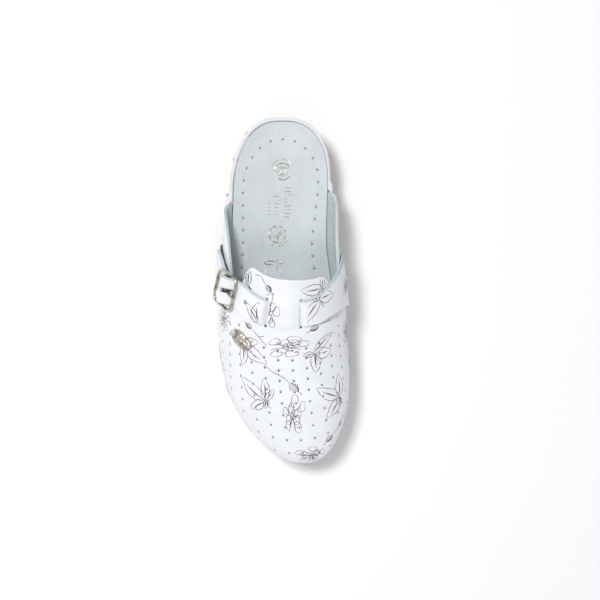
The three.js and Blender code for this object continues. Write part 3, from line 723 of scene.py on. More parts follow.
def layered(name, outer, inner, keep, seam=False, edge_material=2, skived=None):
    """A sheet with an outer skin, an inner skin and walls along every edge and hole. A seam joins the
    first row's left half to its right half; the quads of a skived mask show the cut leather."""
    rows, cols = outer.shape[:2]
    index = np.arange(rows * cols).reshape(rows, cols)
    if seam:
        half = cols // 2
        index[0, half + 1:] = index[0, :cols - half - 1][::-1]
    a, b = index[:-1, :-1], index[:-1, 1:]
    c, d = index[1:, 1:], index[1:, :-1]
    skin = np.stack([a, b, c, d], -1)[keep]
    edges = np.concatenate([skin[:, [0, 1]], skin[:, [1, 2]], skin[:, [2, 3]], skin[:, [3, 0]]])
    edges = edges[edges[:, 0] != edges[:, 1]]
    low, high = edges.min(1), edges.max(1)
    key = low * (rows * cols) + high
    _, where, count = np.unique(key, return_index=True, return_counts=True)
    open_edges = edges[where[count == 1]]
    base = rows * cols
    start, end = open_edges.T
    wall = np.stack([end, start, start + base, end + base], -1)
    under = skin[:, ::-1] + base
    points = np.concatenate([outer.reshape(-1, 3), inner.reshape(-1, 3)])
    kept, (skin, under, wall) = used_only([skin, under, wall])
    faces = [list(dict.fromkeys(face)) for face in np.concatenate([skin, under, wall]).tolist()]
    kinds = np.repeat([0, 1, edge_material], [len(skin), len(under), len(wall)])
    if skived is not None:
        kinds[:len(skin)][skived[keep]] = edge_material
    whole = [len(face) > 2 for face in faces]
    piece = make_object(name, points[kept], [face for face, fits in zip(faces, whole) if fits])
    piece.data.polygons.foreach_set("material_index", kinds[np.array(whole)])
    piece.data.polygons.foreach_set("use_smooth", (kinds != edge_material)[np.array(whole)])
    return outwards(piece)


def stroke_mesh(name, runs, width, rise):
    """Thin raised lines: each run is (places, normals); the section is a low ridge, left and right
    feet half a width from the line and a crest at the given rise, narrowing to both ends."""
    points, faces, start = [], [], 0
    for places, normals in runs:
        count = len(places)
        along = unit(np.gradient(places, axis=0) + 1e-9)
        side = unit(np.cross(normals, along))
        f = np.linspace(0, 1, count)
        half = width / 2 * (0.45 + 0.55 * np.sin(math.pi * f))[:, None]
        ridge = np.stack([places - side * half - normals * 0.012, places + normals * rise,
                          places + side * half - normals * 0.012], 1)
        points.append(ridge.reshape(-1, 3))
        quads = grid_faces(count, 3, False, True) + start
        last = start + 3 * (count - 1)
        faces += quads.tolist() + [[start, start + 1, start + 2], [last + 2, last + 1, last]]
        start += 3 * count
    piece = make_object(name, np.concatenate(points), faces)
    return outwards(piece)


# ------------------------------------------------------------------ drawn flowers
def wavy(points, amount, seed, count):
    """Resamples a stroke through its points and shakes it across its run like a pen line."""
    points = np.asarray(points, float)
    t = np.linspace(0, 1, len(points))
    f = np.linspace(0, 1, count)
    smooth = np.stack([curve(list(zip(t, axis)))(f) for axis in points.T], -1)
    rng = np.random.default_rng(seed)
    wave = sum(rng.normal() * np.sin(math.pi * f * k + rng.uniform(0, 6)) / k for k in (3, 5, 9))
    along = np.gradient(smooth, axis=0)
    across = np.stack([-along[:, 1], along[:, 0]], -1) / (np.linalg.norm(along, axis=1)[:, None] + 1e-9)
    return smooth + across * (wave * amount * np.sin(math.pi * f))[:, None]


def leaf(length, width, bend, seed):
    """A leaf from its stalk: two wavy edges with small teeth that meet in a point, and a vein of two
    close strokes. x is along the leaf."""
    f = np.linspace(0, 1, 22)
    spine = np.stack([f * length, bend * length * np.sin(math.pi * f * 0.9)], -1)
    belly = width / 2 * np.sin(math.pi * f ** 0.8) ** 0.9
    teeth = 0.05 * width * np.abs(np.sin(f * math.pi * 4.5 + seed)) * (f < 0.96) * (f > 0.1)
    rng = np.random.default_rng(seed)
    lines = []
    for side, fullness in ((1, rng.uniform(0.85, 1.2)), (-1, rng.uniform(0.7, 1.05))):
        lines.append(spine + np.stack([np.zeros_like(f), side * (belly * fullness + teeth)], -1))
    lines.append(wavy(spine[2:14], 0.02 * width, seed + 1, 12))
    lines.append(wavy(spine[4:17] + (0, 0.06 * width), 0.02 * width, seed + 2, 10))
    return lines


def turned(lines, angle, at):
    """Turns flat lines by an angle in degrees and moves them."""
    c, s = math.cos(math.radians(angle)), math.sin(math.radians(angle))
    return [np.asarray(line) @ np.array([[c, s], [-s, c]]) + at for line in lines]


def sprig(leaves, seed):
    """Leaves from one joint with a short stalk; leaves are (angle, length, width)."""
    lines = []
    for i, (angle, length, width) in enumerate(leaves):
        lines += turned(leaf(length, width, 0.06 * (-1) ** i, seed + i), angle, (0, 0))
    stalk = [(0, 0), (1.2, -1.5), (2.0, -3.8), (4.5, -5.5)]
    twig = [(0.6, -0.4), (2.0, -1.6), (3.4, -2.2)]
    return lines + [wavy(stalk, 0.1, seed, 10), wavy(twig, 0.1, seed + 5, 6)]


def petal(angle, middle, reach, width, seed):
    """One petal: a closed rippled oval that stands off the heart at an angle, blunt at its far end."""
    rng = np.random.default_rng(seed)
    f = np.linspace(0, 2 * math.pi, 26)
    ripple = 1 + 0.07 * np.sin(3 * f + rng.uniform(0, 6)) + 0.04 * np.sin(5 * f + rng.uniform(0, 6))
    along = middle + reach * np.cos(f) * ripple
    across = width * np.sin(f) * ripple * (1 + 0.25 * np.cos(f))
    turn = math.radians(angle)
    return np.stack([along * math.cos(turn) - across * math.sin(turn),
                     along * math.sin(turn) + across * math.cos(turn)], -1)


def bloom(length, width, seed):
    """A many-petalled flower: a knotted heart, a ring of cupped petals and loose outer petals."""
    rng = np.random.default_rng(seed)
    lines = []
    whorls = ((0.16, 0.13, 0.12, 3), (0.4, 0.25, 0.24, 4), (0.7, 0.3, 0.26, 5))
    for whorl, (middle, reach, wide, count) in enumerate(whorls):
        for k in range(count):
            angle = 360 / count * (k + rng.uniform(-0.2, 0.2)) + 37 * whorl
            out = middle * rng.uniform(0.88, 1.08)
            longer, wider = rng.uniform(0.85, 1.1), rng.uniform(0.8, 1.15)
            lines.append(petal(angle, out, reach * longer, wide * wider, seed + 10 * whorl + k))
    for k in range(6):
        a, r = rng.uniform(0, 6.3), rng.uniform(0.2, 0.5)
        start = np.array([r * math.cos(a), r * math.sin(a)])
        lines.append(wavy([start, start * 1.4 + 0.05, start * 1.7], 0.03, seed + k, 7))
    return [line * (length / 2, width / 2) for line in lines]


def bud(length, seed, lean=0.2):
    """A closed bud: a pointed oval with folds, on a stem with one side shoot; lean is how far the
    stem's end turns aside, as a share of the length."""
    f = np.linspace(0, 1, 16)
    oval = length * 0.42
    belly = 0.11 * length * np.sin(math.pi * f) ** 0.8
    lines = []
    for side in (1, -1, 0.35, -0.3, 0.7):
        start = 0.0 if abs(side) == 1 else 0.12
        g = mix(start, 1, f)
        lines.append(np.stack([g * oval, side * np.interp(g, f, belly)], -1))
    lines.append(wavy([(oval, 0), (oval * 1.25, 0.03 * length), (oval * 1.4, 0.0)], 0.1, seed, 6))
    stem = [(0, 0), (-0.3 * length, 0.15 * lean * length), (-0.7 * length, 0.7 * lean * length),
            (-1.15 * length, lean * length)]
    lines.append(wavy(stem, 0.15, seed + 1, 16))
    fork = [(-0.45 * length, 0.35 * lean * length), (-0.6 * length, -0.08 * length),
            (-0.68 * length, -0.18 * length)]
    return lines + [wavy(fork, 0.1, seed + 2, 8)]


def on_surface(last, lines, q0, y0, top, fits):
    """Lays flat lines, x towards the inner side and y towards the heel, on the upper round (q0, y0)
    with the inverse metric there; top(q) is the height and fits(q, y) says where the leather is."""
    along_q, along_y, normal = last.tangents(np.float64(q0), np.float64(y0))
    across = unit(np.array([1.0, 0, 0]) - normal * normal[0])
    heelward = np.cross(normal, across)
    runs = []
    for line in lines:
        flat = line[:, :1] * across + line[:, 1:] * heelward
        dq, dy = surface_step(along_q, along_y, flat)
        q, y = q0 + dq, y0 + dy
        inside = fits(q, y)
        ends = np.flatnonzero(np.diff(np.r_[0, inside.astype(int), 0]))
        for low, high in zip(ends[::2], ends[1::2]):
            if high - low > 2:
                cut = slice(low, high)
                places = last.on_shell(q[cut], y[cut], top(q[cut], y[cut]))
                runs.append((places, last.tangents(q[cut], y[cut])[2]))
    return runs


def q_at(last, x, y, d):
    """The q whose plan position is x at a given y, by halving an interval."""
    low, high = np.float64(0.0), np.float64(math.pi)
    for _ in range(40):
        middle = (low + high) / 2
        if last.on_shell(middle, np.float64(y), d)[0] < x:
            low = middle
        else:
            high = middle
    return middle


# Printed flowers of the upper: kind, plan position, turn in degrees, and its measures in millimetres.
UPPER_PRINT = [
    ("sprig", -13.5, -80, 0, [(137, 24, 8), (100, 17, 6), (205, 14, 8), (62, 10, 4), (268, 6, 3)]),
    ("bloom", 6.5, -91, 90, (31, 16)),
    ("bud", 3.5, -67, -51, (21, -0.37)),
    ("sprig", 41, -78, 0, [(150, 17, 9), (93, 17, 6), (236, 17, 8), (290, 8, 4)]),
    ("sprig", 20.5, -46, 0, [(42, 22, 6), (8, 15, 9), (-84, 14, 8), (190, 7, 4)]),
    ("bloom", 1.5, -40.5, 4, (33, 17)),
    ("bloom", -43, -21, 80, (19, 17)),
    ("sprig", -30, -39, 0, [(14, 12, 6), (-33, 21, 8), (-92, 16, 6)]),
    ("bud", -24, -28, 140, (14, 0.1)),
    ("bud", 24, -25.5, -155, (17, 0.16)),
    ("bud", -44, -59, -70, (15, 0.2)),
    ("bloom", -44, -73, 60, (17, 14)),
    ("bud", -24, -105, 150, (18, 0.3)),
    ("bud", 37, -106, -140, (17, -0.2)),
    ("bloom", 22, -121, 10, (21, 15)),
    ("sprig", -27, 3, 0, [(112, 13, 4), (96, 14, 5), (80, 11, 4), (-60, 5, 2)]),
    ("bud", -15, 3.5, -52, (15, 0.2)),
    ("bloom", -12, -16, 84, (27, 15)),
    ("sprig", 25.5, 1.5, 0, [(176, 16, 9), (95, 8, 4), (250, 7, 5)]),
    ("bloom", 47, -30, 95, (20, 15)),
    ("bud", 50, -50, -60, (16, 0.2)),
    ("bloom", -56, -46, 20, (18, 14)),
    ("sprig", -47, 22, 0, [(80, 15, 6), (120, 11, 5), (30, 10, 5)]),
    ("bloom", 52, 20, 70, (19, 15)),
    ("bud", 52, 46, 80, (15, 0.2)),
]
STRAP_PRINT = [
    ("sprig", 23, -7, 0, [(12, 12, 8), (-120, 20, 8), (150, 6, 4)]),
    ("sprig", -20, -23, 0, [(88, 15, 8), (124, 16, 5)]),
    ("sprig", -43, 4, 0, [(-70, 9, 5), (-100, 8, 3)]),
    ("bloom", 45, 3, 80, (18, 13)),
]
INSOLE_MARKS = [(1.2, 88.0), (-2.4, 41.8)]


def drawing(kind, turn, measure, seed):
    """The flat lines of one flower of the print."""
    if kind == "sprig":
        lines = sprig(measure, seed)
    elif kind == "bloom":
        lines = bloom(*measure, seed)
    else:
        lines = bud(measure[0], seed, measure[1])
    return turned(lines, turn, (0.0, 0.0))


def print_runs(last, motifs, top, fits, d):
    """Every line of a list of motifs, laid on the leather."""
    runs = []
    for number, (kind, x, y, turn, measure) in enumerate(motifs):
        q = q_at(last, x, y, d)
        runs += on_surface(last, drawing(kind, turn, measure, 7 * number + 1), q, y, top, fits)
    return runs


def bridge_rise(last, q, y):
    """The bridge over the strap swells between its two slits: ramps across q times a ramp in y."""
    climb, fall = ease(SLIT_OUTER - 0.03, SLIT_OUTER + 0.15, q), ease(SLIT_INNER - 0.15, SLIT_INNER + 0.03, q)
    return 1.3 * climb * (1 - fall) * (1 - ease(7, 13, np.abs(y - last.strap_y(q))))


def in_slit(last, q, y, spare=0.0):
    """True in either slit of the tongue: 0.048 of q wide and a little longer than the strap is wide."""
    near = np.minimum(np.abs(q - SLIT_OUTER), np.abs(q - SLIT_INNER)) < 0.024 + spare * 0.02
    return near & (np.abs(y - last.strap_y(q)) < 10.1 + spare)


def vent_row(i, u=0.0):
    """Where row i of the vents runs at a distance u from the crown: it starts -43.7 - 6.9 i - 0.17 i^2
    along the foot and bends back by 0.0085 ((u + 4)^2 - 16)."""
    return -43.7 - 6.9 * i - 0.17 * i * i + 0.0085 * ((u + 4) ** 2 - 16)


def vent_centres(last):
    """Punched rows of the forepart, as (q, y): in each row hole k stands VENT_PITCH k + VENT_SHIFT
    along the leather from the crown. The first two rows keep to the sides."""
    centres = []
    qs = np.linspace(0.02, math.pi - 0.02, 500)
    for i in range(-2, 10):
        y = np.full_like(qs, vent_row(i))
        for _ in range(2):
            places = last.on_shell(qs, y, last.outside)
            run = np.r_[0, np.cumsum(np.linalg.norm(np.diff(places, axis=0), axis=1))]
            u = run - np.interp(math.pi / 2, qs, run)
            y = vent_row(i, u)
        k = np.arange(-7, 7)
        spots = k * VENT_PITCH + VENT_SHIFT
        q, at = np.interp(spots, u, qs), np.interp(spots, u, y)
        fits = (spots > u[0] + 6) & (spots < u[-1] - 6) & (at > -122) & (at < -18)
        if i < 0:
            fits &= (k > 2 - i) | (k < -2 + i)
        centres.append(np.stack([q, at], -1)[fits])
    return np.concatenate(centres)


def settings(context):
    scene = context.scene
    return Last(scene.clog_sizes.leather), scene.clog_sizes, scene.clog_colours


# ------------------------------------------------------------------ the pieces
class CLOG_OT_upper(bpy.types.Operator):
    """Upper: the dome and its walls from the toe to the rear edge, with punched rows, two slits for
    the strap and a raw cut edge"""
    bl_idname = "clog.upper"
    bl_label = "Upper"

    def execute(self, context):
        last, sizes, colours = settings(context)
        wall = -last.q_margin * np.linspace(1, 0, 15)
        dome = np.linspace(0, math.pi / 2, 84)[1:]
        half = np.r_[wall, dome]
        columns = np.r_[half, math.pi - half[-2::-1]]
        f = np.linspace(0, 1, 152)[:, None]
        rear = last.tau_at(last.rear_edge(columns))
        tau = mix(math.pi, rear[None, :], f)
        y = last.y_shift + (last.half + last.outside + BULGE) * np.cos(tau)
        q = np.broadcast_to(columns, y.shape).copy()
        keep = ~in_slit(last, (q[:-1, :-1] + q[1:, 1:]) / 2, (y[:-1, :-1] + y[1:, 1:]) / 2)
        centres = vent_centres(last)
        middle = (last.inside + last.outside) / 2
        q, y, keep = punch(q, y, keep, lambda a, b: last.on_shell(a, b, middle), centres, sizes.punch / 2)
        rise = bridge_rise(last, q, y)
        outer, inner = last.on_shell(q, y, last.outside + rise), last.on_shell(q, y, last.inside + rise)
        piece = layered("upper_shell", outer, inner, keep, seam=True)
        dress(piece, BODY, "printed_leather", ["upper"],
              white_leather("white_leather", colours), suede(colours), raw_edge(colours))
        return {"FINISHED"}


class CLOG_OT_upper_print(bpy.types.Operator):
    """Flower print of the upper, drawn as thin lines on the leather and stopped at holes and edges"""
    bl_idname = "clog.upper_print"
    bl_label = "Upper print"

    def execute(self, context):
        last, sizes, colours = settings(context)
        centres = vent_centres(last)
        holes = last.on_shell(centres[:, 0], centres[:, 1], last.outside)

        def fits(q, y):
            places = last.on_shell(q, y, last.outside)
            apart = np.linalg.norm(places[:, None] - holes[None], axis=-1).min(1)
            on_leather = (y < last.rear_edge(q) - 1.2) & (y > -126.3) & (apart > sizes.punch / 2 + 0.1)
            on_wall = (q > -0.1) & (q < math.pi + 0.1)
            return on_leather & on_wall & ~in_slit(last, q, y, 0.6)

        def top(q, y):
            return last.outside + bridge_rise(last, q, y)

        runs = print_runs(last, UPPER_PRINT, top, fits, last.outside)
        piece = stroke_mesh("upper_flowers", runs, sizes.pen, INK_RISE)
        dress(piece, BODY, "printed_leather", [], ink(colours))
        return {"FINISHED"}


class CLOG_OT_strap(bpy.types.Operator):
    """Instep strap: a leather band with rounded edges from the inner welt, under the bridge, over the
    buckle's bar to a round tip, with a slot for the prong and spare holes"""
    bl_idname = "clog.strap"
    bl_label = "Strap"

    def execute(self, context):
        last, sizes, colours = settings(context)
        wall = math.pi + last.q_margin * np.linspace(1, 0, 16)[:-1]
        qs = np.r_[wall, np.linspace(math.pi, STRAP_END, 240)]
        across = np.r_[-1, -0.985, -0.965, np.linspace(-0.93, 0.93, 23), 0.965, 0.985, 1]
        edge = np.sqrt(np.maximum(1 - power((np.abs(across) - 0.965) / 0.035, 2), 0.0))
        q, y = ribbon_grid(last, qs, across, last.strap_y, last.strap_half)
        keep = np.ones((len(qs) - 1, len(across) - 1), bool)
        holes = [(at, last.strap_y(at)) for at in STRAP_HOLES_Q]
        d = np.broadcast_to(last.strap_offset(qs)[:, None], q.shape)
        q, y, keep = punch(q, y, keep, lambda a, b: last.on_shell(a, b, last.strap_mid), holes, STRAP_HOLE)
        slot = (qs[:-1] < BUCKLE_Q + 0.15) & (qs[:-1] > BUCKLE_Q + 0.012)
        keep[np.ix_(slot, np.abs(across[1:] + across[:-1]) < 0.26)] = False
        thick = sizes.leather / 2 * mix(0.82, 1.0, edge)
        bevel = 0.8 * (1 - ease(-1, -0.86, across))
        skived = np.broadcast_to(across[1:] + across[:-1] < -1.72, keep.shape)
        outer, inner = last.on_shell(q, y, d + thick - bevel), last.on_shell(q, y, d - thick)
        piece = layered("strap_band", outer, inner, keep, skived=skived)
        dress(piece, BODY, "strap_leather", ["instep_strap"],
              white_leather("strap_leather", colours, 0.03), suede(colours), raw_edge(colours))
        return {"FINISHED"}


def ribbon_grid(last, qs, across, path, half):
    """Rows square to a ribbon's path on the upper: at each q the across direction is the forward
    tangent times the normal, level on the walls, and a point goes half(q) across along it."""
    y = path(qs)
    along_q, along_y, normal = last.tangents(qs, y)
    slope = (path(qs + 0.005) - path(qs - 0.005)) / 0.01
    ahead = unit(along_q + along_y * slope[:, None])
    dq, dy = surface_step(along_q, along_y, np.cross(ahead, normal))
    f = ease(0, 0.12, np.minimum(qs, math.pi - qs))
    dq = dq * f
    dy = mix(-1 / np.linalg.norm(along_y, axis=-1), dy, f)
    reach = half(qs)[:, None] * across[None, :]
    return qs[:, None] + dq[:, None] * reach, y[:, None] + dy[:, None] * reach


class CLOG_OT_strap_print(bpy.types.Operator):
    """Flower print of the strap"""
    bl_idname = "clog.strap_print"
    bl_label = "Strap print"

    def execute(self, context):
        last, sizes, colours = settings(context)

        def fits(q, y):
            on_strap = np.abs(y - last.strap_y(q)) < last.strap_half(q) - 0.6
            spans = ((0.1, 0.36), (0.69, 1.12), (1.78, math.pi + 0.1))
            open_run = np.any([(q > low) & (q < high) for low, high in spans], 0)
            return on_strap & open_run

        def top(q, y):
            return last.strap_offset(q) + sizes.leather / 2

        runs = print_runs(last, STRAP_PRINT, top, fits, last.outside + 2)
        piece = stroke_mesh("strap_flowers", runs, sizes.pen, INK_RISE)
        dress(piece, BODY, "strap_leather", [], ink(colours))
        return {"FINISHED"}


def footbed_grid(rows, cols):
    """Parameters (tau, u) of the footbed from heel to toe."""
    tau = np.linspace(0.0, math.pi, rows)[:, None] * np.ones((1, cols))
    u = np.sin(np.linspace(-math.pi / 2, math.pi / 2, cols))[None, :] * np.ones((rows, 1))
    return tau, u


class CLOG_OT_insole(bpy.types.Operator):
    """Insole cover: pigskin over the dished footbed, its edge rounded, with a ring of punched holes"""
    bl_idname = "clog.insole"
    bl_label = "Insole"

    def execute(self, context):
        last, sizes, colours = settings(context)
        tau, u = footbed_grid(230, 111)

        def place(a, b):
            return last.footbed(a, b, 0.0, INSOLE_EDGE)

        run = np.linspace(0.0, 2 * math.pi, 1500)
        side = np.where(run < math.pi, -1.0, 1.0)
        around = np.where(run < math.pi, run, 2 * math.pi - run)
        t = np.cos(around)
        inset = 8.8 + 4.5 * ease(0.72, 1, t) + np.where(side > 0, 2.4 * (1 - ease(0.25, 0.6, t)), 0)
        x, y = last.spot(around, side, -inset)
        length = np.r_[0, np.cumsum(np.hypot(np.diff(x), np.diff(y)))]
        count = round(length[-1] / INSOLE_PITCH)
        stops = np.arange(count) * length[-1] / count
        hx, hy = np.interp(stops, length, x), np.interp(stops, length, y)
        centres = np.stack(footbed_at(last, hx, hy), -1)
        keep = np.ones((tau.shape[0] - 1, tau.shape[1] - 1), bool)
        tau, u, keep = punch(tau, u, keep, place, centres, INSOLE_HOLE)
        under = last.footbed(tau, u, COVER, FOOTBED_EDGE)
        piece = layered("insole_sheet", place(tau, u), under, keep, edge_material=1)
        merge(piece)
        dark = Look("punched_edge", (0.3, 0.31, 0.32), 0.9)
        speck = dark.noise(600.0, 3.0)
        dark.set(**{"Base Color": dark.blend(speck, (0.24, 0.26, 0.26), (0.4, 0.43, 0.43))})
        dress(piece, BODY, "insole_leather", ["insole_cover"], pigskin(colours), dark.material)
        return {"FINISHED"}


def footbed_at(last, x, y):
    """The footbed's (tau, u) at plan positions."""
    tau = np.arccos(np.clip((y - last.y_shift) / (last.half - FOOTBED_EDGE), -1, 1))
    ax, _ = last.spot(tau, -1, -FOOTBED_EDGE)
    bx, _ = last.spot(tau, 1, -FOOTBED_EDGE)
    return tau, np.clip(2 * (x - ax) / (bx - ax) - 1, -0.999, 0.999)


def merge(piece, distance=1e-6):
    """Joins points that coincide, as at poles and seams."""
    work = bmesh.new()
    work.from_mesh(piece.data)
    bmesh.ops.remove_doubles(work, verts=work.verts, dist=distance)
    bmesh.ops.dissolve_degenerate(work, edges=work.edges, dist=distance)
    work.to_mesh(piece.data)
    work.free()
    return outwards(piece)


def ring(radius, start=0.0, end=360.0, count=40, squash=1.0):
    angle = np.radians(np.linspace(start, end, count))
    return np.stack([radius * np.cos(angle), radius * squash * np.sin(angle)], -1)


class CLOG_OT_foil(bpy.types.Operator):
    """Foil marks on the insole: two round emblems with arcs, a block of bars and a small figure"""
    bl_idname = "clog.foil"
    bl_label = "Foil marks"

    def execute(self, context):
        last, sizes, colours = settings(context)
        lines = []
        for number, (x, y) in enumerate(INSOLE_MARKS):
            oval = ring(1.5, 0, 360, 16, 0.5) + (2.6, 0)
            petals = [turned([oval], 45 * k, (0, 0))[0] for k in range(8)]
            emblem = [ring(6.3), ring(5.9), ring(1.0, 0, 360, 12)] + petals
            if number:
                emblem = [ring(6.3), ring(5.8), np.array([(0, -4.6), (0, 0), (0, 4.6)], float),
                          np.array([(0.5, -4.6), (0.5, 0), (0.5, 4.6)], float),
                          np.array([(-4.6, 0), (0, 0), (4.6, 0)], float)]
                dot_ring = ring(0.95, 0, 360, 12) + (2.8, 0)
                emblem += [turned([dot_ring], 45 + 90 * k, (0, 0))[0] for k in range(4)]
            low = 215 if number else 35
            tick = np.array([(7.9, 0), (8.9, 0.2), (9.9, 0)])
            ticks = [turned([tick], low + 11 * k, (0, 0))[0] for k in range(11)]
            lines += [line + (x, y) for line in emblem + ticks]
        rng = np.random.default_rng(4)
        for x, reach, count, top in ((5.2, 3.3, 9, 76.0), (-3.0, 2.4, 6, 69.5), (-8.4, 1.0, 9, 75.0)):
            for k in range(count):
                y = top - 24.0 / 9 * k
                wide = reach * rng.uniform(0.8, 1.0)
                lines.append(np.array([(x - wide, y), (x, y), (x + wide, y)]))
        for k in range(2):
            y = 20.6 - 6.4 * k
            lines += [ring(4.4 - 0.9 * k * j, 0, 360, 24, 0.26 + 0.1 * j) + (-7.4, y) for j in range(2)]
            lines += [ring(0.9, 0, 360, 10) + (0.8 * j, y + 0.2) for j in range(3)]
        lines.append(np.array([(-2.2, 23.5), (-2.2, 17), (-2.2, 10.5)]))
        runs = []
        for line in lines:
            count = max(len(line), 6)
            f = np.linspace(0, 1, count)
            at = np.linspace(0, 1, len(line))
            fine = np.stack([np.interp(f, at, axis) for axis in line.T], -1)
            tau, u = footbed_at(last, fine[:, 0], fine[:, 1])
            runs.append((last.footbed(tau, u, 0.0, FOOTBED_EDGE), np.tile([0.0, 0, 1.0], (count, 1))))
        piece = stroke_mesh("foil_marks", runs, FOIL_WIDTH, FOIL_RISE)
        dress(piece, BODY, "insole_leather", [], foil())
        return {"FINISHED"}


class CLOG_OT_pad(bpy.types.Operator):
    """Foam pad between the insole cover and the wood, crowned with the footbed"""
    bl_idname = "clog.pad"
    bl_label = "Foam pad"

    def execute(self, context):
        last, sizes, colours = settings(context)
        tau, u = footbed_grid(120, 41)
        top = last.footbed(tau, u, COVER + GAP, 0.6)
        base = last.footbed(tau, u, COVER + GAP + PAD, 0.6)
        keep = np.ones((tau.shape[0] - 1, tau.shape[1] - 1), bool)
        piece = merge(layered("footbed_foam", top, base, keep, edge_material=0))
        piece.data.polygons.foreach_set("material_index", np.zeros(len(piece.data.polygons), int))
        dress(piece, BODY, "foam", ["footbed_pad"], foam())
        return {"FINISHED"}


def plate_loops(last, tau, inset_top, inset_base, top, base, corner, cols=26):
    """Cross sections of a plate that follows the sole's plan: across the top, down a side that draws
    in, with a quarter round of the given radius below, back across the base and up the other side."""
    u = np.linspace(-1, 1, cols)
    turn = np.linspace(0, math.pi / 2, 5)[None, :]
    straight = np.linspace(0, 1, 5)[None, 1:-1]
    tau = tau[:, None]
    z_top, z_base = top(tau, u), base(tau, u)
    ax, ay = last.spot(tau, -1, -inset_top)
    bx, by = last.spot(tau, 1, -inset_top)
    g = (u + 1) / 2
    width = np.minimum(1.0, (bx - ax) / 8.0)
    top_row = np.stack(np.broadcast_arrays(mix(ax, bx, g), mix(ay, by, g), z_top), -1)

    def side(which, edge):
        """Down the inner side (1) or up the outer side (-1)."""
        high, low = z_top[:, edge:edge + 1 or None], z_base[:, edge:edge + 1 or None]
        z = np.concatenate([mix(high, low + corner, straight), low + corner * (1 - np.sin(turn))], 1)
        slope = np.concatenate([straight * 0.5, np.full((1, 5), 0.5)], 1)
        rounding = np.concatenate([np.zeros((1, 3)), corner * (1 - np.cos(turn))], 1)
        reach = mix(inset_top, inset_base, slope) + rounding * width
        x, y = last.spot(np.broadcast_to(tau, reach.shape), which, -reach)
        return np.stack([x, y, z], -1)

    right, left = side(1, -1), side(-1, 0)[:, ::-1]
    last_reach = mix(inset_top, inset_base, 0.5) + corner * width
    cx, cy = last.spot(tau, -1, -last_reach)
    dx, dy = last.spot(tau, 1, -last_reach)
    g = g[::-1][1:-1]
    base_row = np.stack(np.broadcast_arrays(mix(cx, dx, g), mix(cy, dy, g), z_base[:, -2:0:-1]), -1)
    return np.concatenate([top_row, right, base_row, left], 1)


class CLOG_OT_sole(bpy.types.Operator):
    """Wooden sole: dished top, sides drawing in to a rounded lower edge, arched waist and heel block"""
    bl_idname = "clog.sole"
    bl_label = "Wooden sole"

    def execute(self, context):
        last, sizes, colours = settings(context)
        low, high = math.acos(BREAST + 0.025), math.acos(BREAST - 0.025)
        tau = np.r_[np.linspace(0, low, 70), np.linspace(low, high, 8)[1:-1], np.linspace(high, math.pi, 110)]

        def bottom(tau, u):
            t = np.cos(tau)
            spring = last.wood_bottom(np.where(t < BREAST, -0.09, t))
            before_heel = 1 - ease(BREAST - 0.025, BREAST + 0.025, t)
            arch = np.where(t < 0.43, 13 * ease(-0.08, 0.3, t) * before_heel, 0)
            toe = 12 * power((-t - 0.5) / 0.5, 1.8)
            return spring + arch + np.where(t < BREAST, toe, 0) + 0 * u

        def top(tau, u):
            return last.foot_height(tau, u) - (COVER + PAD + 2 * GAP)

        loops = plate_loops(last, tau, 0.0, 2.5, top, bottom, 2.2)
        piece = merge(sweep("sole_block", loops))
        dress(piece, BODY, "wood", ["wooden_sole"], carved_wood(colours))
        return {"FINISHED"}


class CLOG_OT_treads(bpy.types.Operator):
    """Rubber treads: a heel lift and a forepart tread, grooved across and rounded at the edge"""
    bl_idname = "clog.treads"
    bl_label = "Treads"

    def execute(self, context):
        last, sizes, colours = settings(context)
        material = tread_rubber()
        half = last.half
        heel_grooves = [mix(0.5, 0.82, k / 3) * half for k in range(4)]
        toe_grooves = [mix(-0.12, -0.56, k / 5) * half for k in range(6)]
        plans = [
            ("heel_rubber", "heel_tread", 1.0, BREAST + 0.05, heel_grooves),
            ("forepart_rubber", "forepart_tread", -0.02, -1.0, toe_grooves),
        ]
        for name, node, first, end, grooves in plans:
            tau = np.linspace(math.acos(first), math.acos(end), 300)

            def top(tau, u):
                return last.wood_bottom(np.cos(tau)) - GAP + 0 * u

            def base(tau, u):
                y = last.y_shift + (half - 3) * np.cos(tau)
                cut = sum(1 - ease(1.2, 1.7, np.abs(y - groove)) for groove in grooves)
                return top(tau, u) - TREAD + 1.5 * cut

            piece = merge(sweep(name, plate_loops(last, tau, 2.5, 3.1, top, base, 0.8)))
            dress(piece, BODY, "tread_rubber", [node], material)
        return {"FINISHED"}


def round_rim(phi):
    """Side and tau of an angle that runs once round the clog from the heel along the inner side."""
    return np.where(phi < math.pi, 1.0, -1.0), np.where(phi < math.pi, phi, 2 * math.pi - phi)


def covered(y, low, high):
    """1 between low and high and 0 more than 7 outside them."""
    return ease(low - 7, low - 0.5, y) * (1 - ease(high + 0.5, high + 7, y))


def stack_under_welt(last, tau, side, sooner=0.0):
    """How far the welt stands off the wood: a gap plus the leather, strap and tape that end there. Past
    the wings it returns to the wood, and sooner makes it return that much earlier."""
    y = last.y_shift + (last.half + last.outside) * np.cos(tau)
    wing = np.where(side < 0, WING_OUTER, WING_INNER)
    past = ease(wing + 0.5 - sooner, wing + 7 - 2.2 * sooner, y)
    upper = ease(-2 * last.half - 7, -2 * last.half, y) * (1 - past) * (last.leather + GAP)
    strap = covered(y, STRAP_FOOT_Y - STRAP_FOOT - 7, STRAP_FOOT_Y + STRAP_FOOT) * (last.leather + LIE)
    tape = covered(y, TAPE_FOOT_Y - TAPE_HALF - 4, TAPE_FOOT_Y + TAPE_HALF + 2) * (TAPE + LIE)
    return GAP + upper + np.where(side > 0, strap, tape)


def welt_thickness(tau):
    return WELT_THICK + WELT_HEEL_EXTRA * ease(0.55, 0.75, np.cos(tau))


